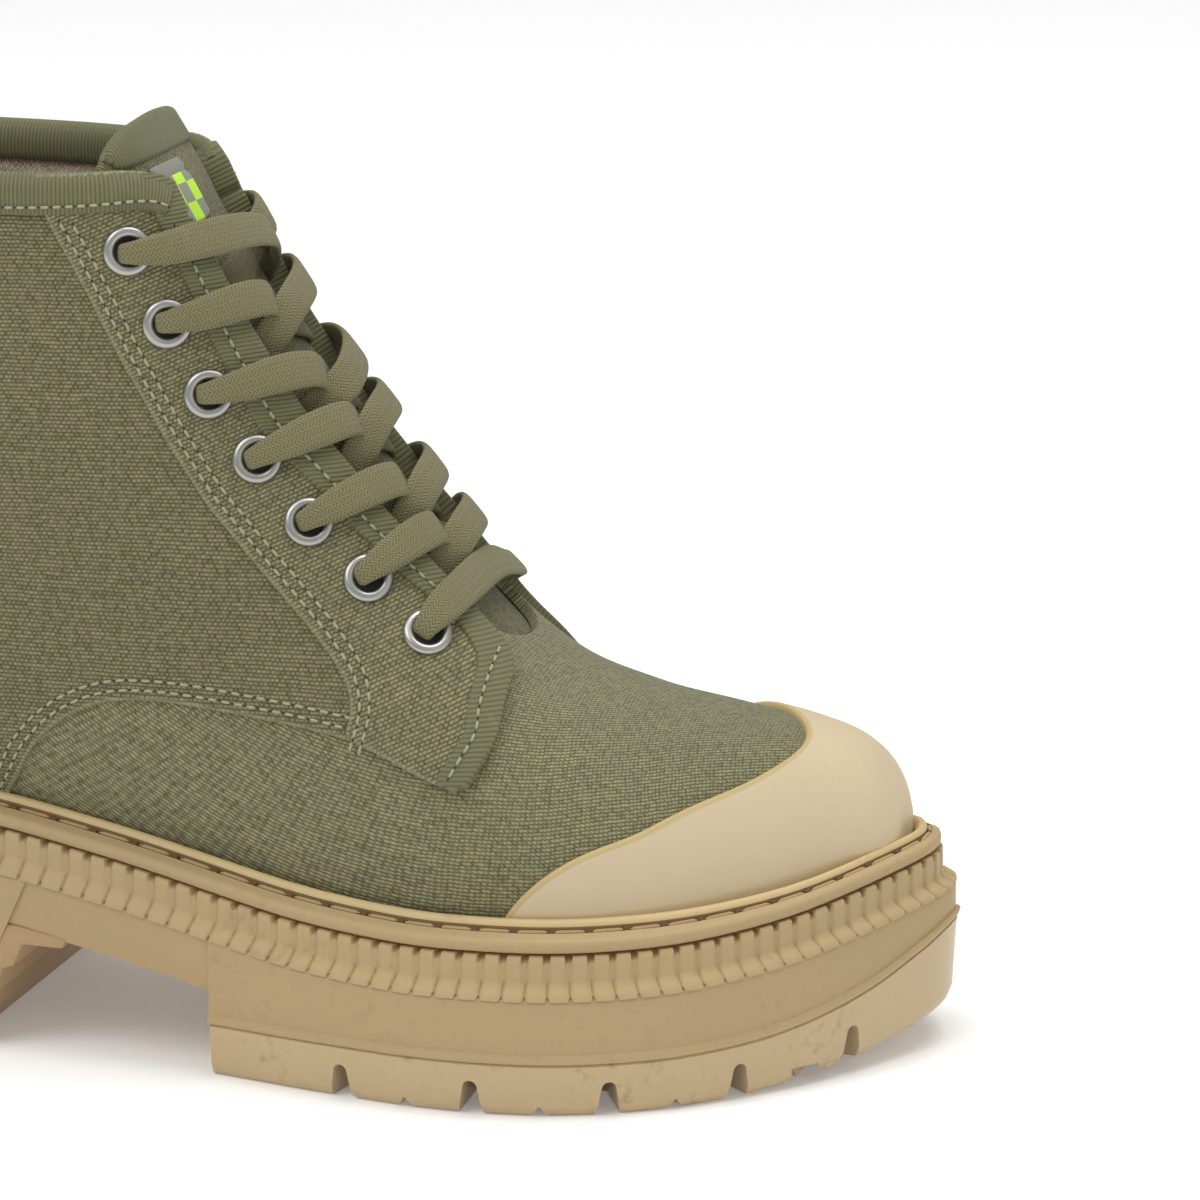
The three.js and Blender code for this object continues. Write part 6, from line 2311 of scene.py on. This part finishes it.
        stops = [
            (row(-0.02), y + side * 0.6, -1.5),
            (row(0.0), y + side * 0.2, over - 1.4),
            (row(end / 12), y - side * 3.0, over + 0.1),
            (row(end / 6), side * half, edge + 0.3),
        ]
        if (side > 0) == bool(level):
            stops += [
                (row(end / 2.6), side * 4.0, self.arch + 2.6),
                (row(end / 1.55), -side * 4.5, self.arch + 1.9),
                (row(end * 1.02), -side * 10.5, 0.3),
                (row(end * 1.2), -side * 13.5, -2.0),
                (row(end * 1.3), -side * (half + 4), -3.6),
            ]
        else:
            stops += [
                (row(end / 3.2), side * 9.6, self.arch + 1.1),
                (row(end / 2.1), side * 6.2, self.arch - 1.2),
                (row(end / 1.6), side * 3.5, -1.2),
                (row(end * 1.1), -side * 9.0, -1.6),
                (row(end * 1.3), -side * (half + 4), -3.6),
            ]
        points, normals = self._stops(stops)
        narrow = np.array([0.5, 0.55, 0.85] + [1.0] * 6)
        self._ribbon(made, points, normals, narrow)

    def _bar(self, made: Piece) -> None:
        """Adds the straight strand between the two lowest eyelets."""
        near, far = self.places[LATERAL][-1], self.places[MEDIAL][-1]
        half = UPPER.throat_width / 2
        over, edge = self.over_eyelet, self.over_tape + 0.1
        near_y, far_y = float(near.point[1]), float(far.point[1])
        stops = [
            (near.row, near_y - 0.6, -1.5),
            (near.row, near_y - 0.2, over - 1.4),
            (near.row, near_y + 3, over + 0.1),
            (near.row, -half, edge),
            (near.row, 0.0, self.arch + 0.8),
            (far.row, half, edge - 0.5),
            (far.row, far_y - 3, over + 0.1),
            (far.row, far_y + 0.2, over - 1.4),
            (far.row, far_y + 0.6, -1.5),
        ]
        points, normals = self._stops(stops)
        self._ribbon(made, points, normals, np.array([0.55, 0.6, 0.9, 1, 1, 0.86, 0.85, 0.6, 0.55]))


@dataclass
class Studio:
    """Floor, light and camera."""

    camera_place: tuple[float, float, float] = (403.2, -1156.4, 391.8)
    azimuth: float = 16.0
    elevation: float = 14.0
    lens: float = 186.53

    def build(self) -> None:
        """Sets the stage."""
        bpy.ops.mesh.primitive_plane_add(size=12)
        floor = bpy.context.object
        floor.name = "floor"
        material, _, shader = start_material("floor_white", 0.9)
        shader.inputs["Base Color"].default_value = (0.9, 0.9, 0.9, 1)
        shader.inputs["Specular IOR Level"].default_value = 0.1
        shader.inputs["Emission Color"].default_value = (1, 1, 1, 1)
        shader.inputs["Emission Strength"].default_value = 0.16
        floor.data.materials.append(material)
        self._light("key", (-0.8, -1.3, 1.9), 1.4, 19)
        self._light("fill", (1.7, -1.0, 1.0), 1.8, 4)
        self._light("top", (0.3, 0.3, 2.2), 1.6, 30)
        self._world()
        self._camera()

    def _light(self, name: str, place: tuple[float, float, float], size: float, power: float) -> None:
        """Adds an area light that faces the boot."""
        bpy.ops.object.light_add(type="AREA", location=place)
        light = bpy.context.object
        light.name = name
        light.data.size = size
        light.data.energy = power
        toward = Vector((0, 0, 0.08)) - Vector(place)
        light.rotation_euler = toward.to_track_quat("-Z", "Y").to_euler()

    def _world(self) -> None:
        """Sets an even white surrounding."""
        scene = bpy.context.scene
        world = bpy.data.worlds.new("studio")
        world.use_nodes = True
        back = world.node_tree.nodes["Background"]
        back.inputs["Color"].default_value = (1, 1, 1, 1)
        back.inputs["Strength"].default_value = 0.46
        scene.world = world
        scene.view_settings.view_transform = "Standard"

    def _camera(self) -> None:
        """Places the camera at the photo's angle."""
        bpy.ops.object.camera_add()
        camera = bpy.context.object
        turn, lift = math.radians(self.azimuth), math.radians(self.elevation)
        back = Vector((math.sin(turn) * math.cos(lift), -math.cos(turn) * math.cos(lift), math.sin(lift)))
        camera.location = (Vector(self.camera_place) + Vector(ORIGIN_SHIFT)) * MM
        camera.rotation_euler = back.to_track_quat("Z", "Y").to_euler()
        camera.data.lens = self.lens
        camera.data.sensor_width = 36
        camera.data.clip_end = 30
        bpy.context.scene.camera = camera


def main() -> None:
    """Builds the boot and the studio round it."""
    logging.basicConfig(level=logging.INFO, format="%(message)s")
    library = Library()
    Sole(library).build()
    Shell(library).build()
    Closure(library).build()
    Studio().build()


if __name__ == "__main__":
    main()
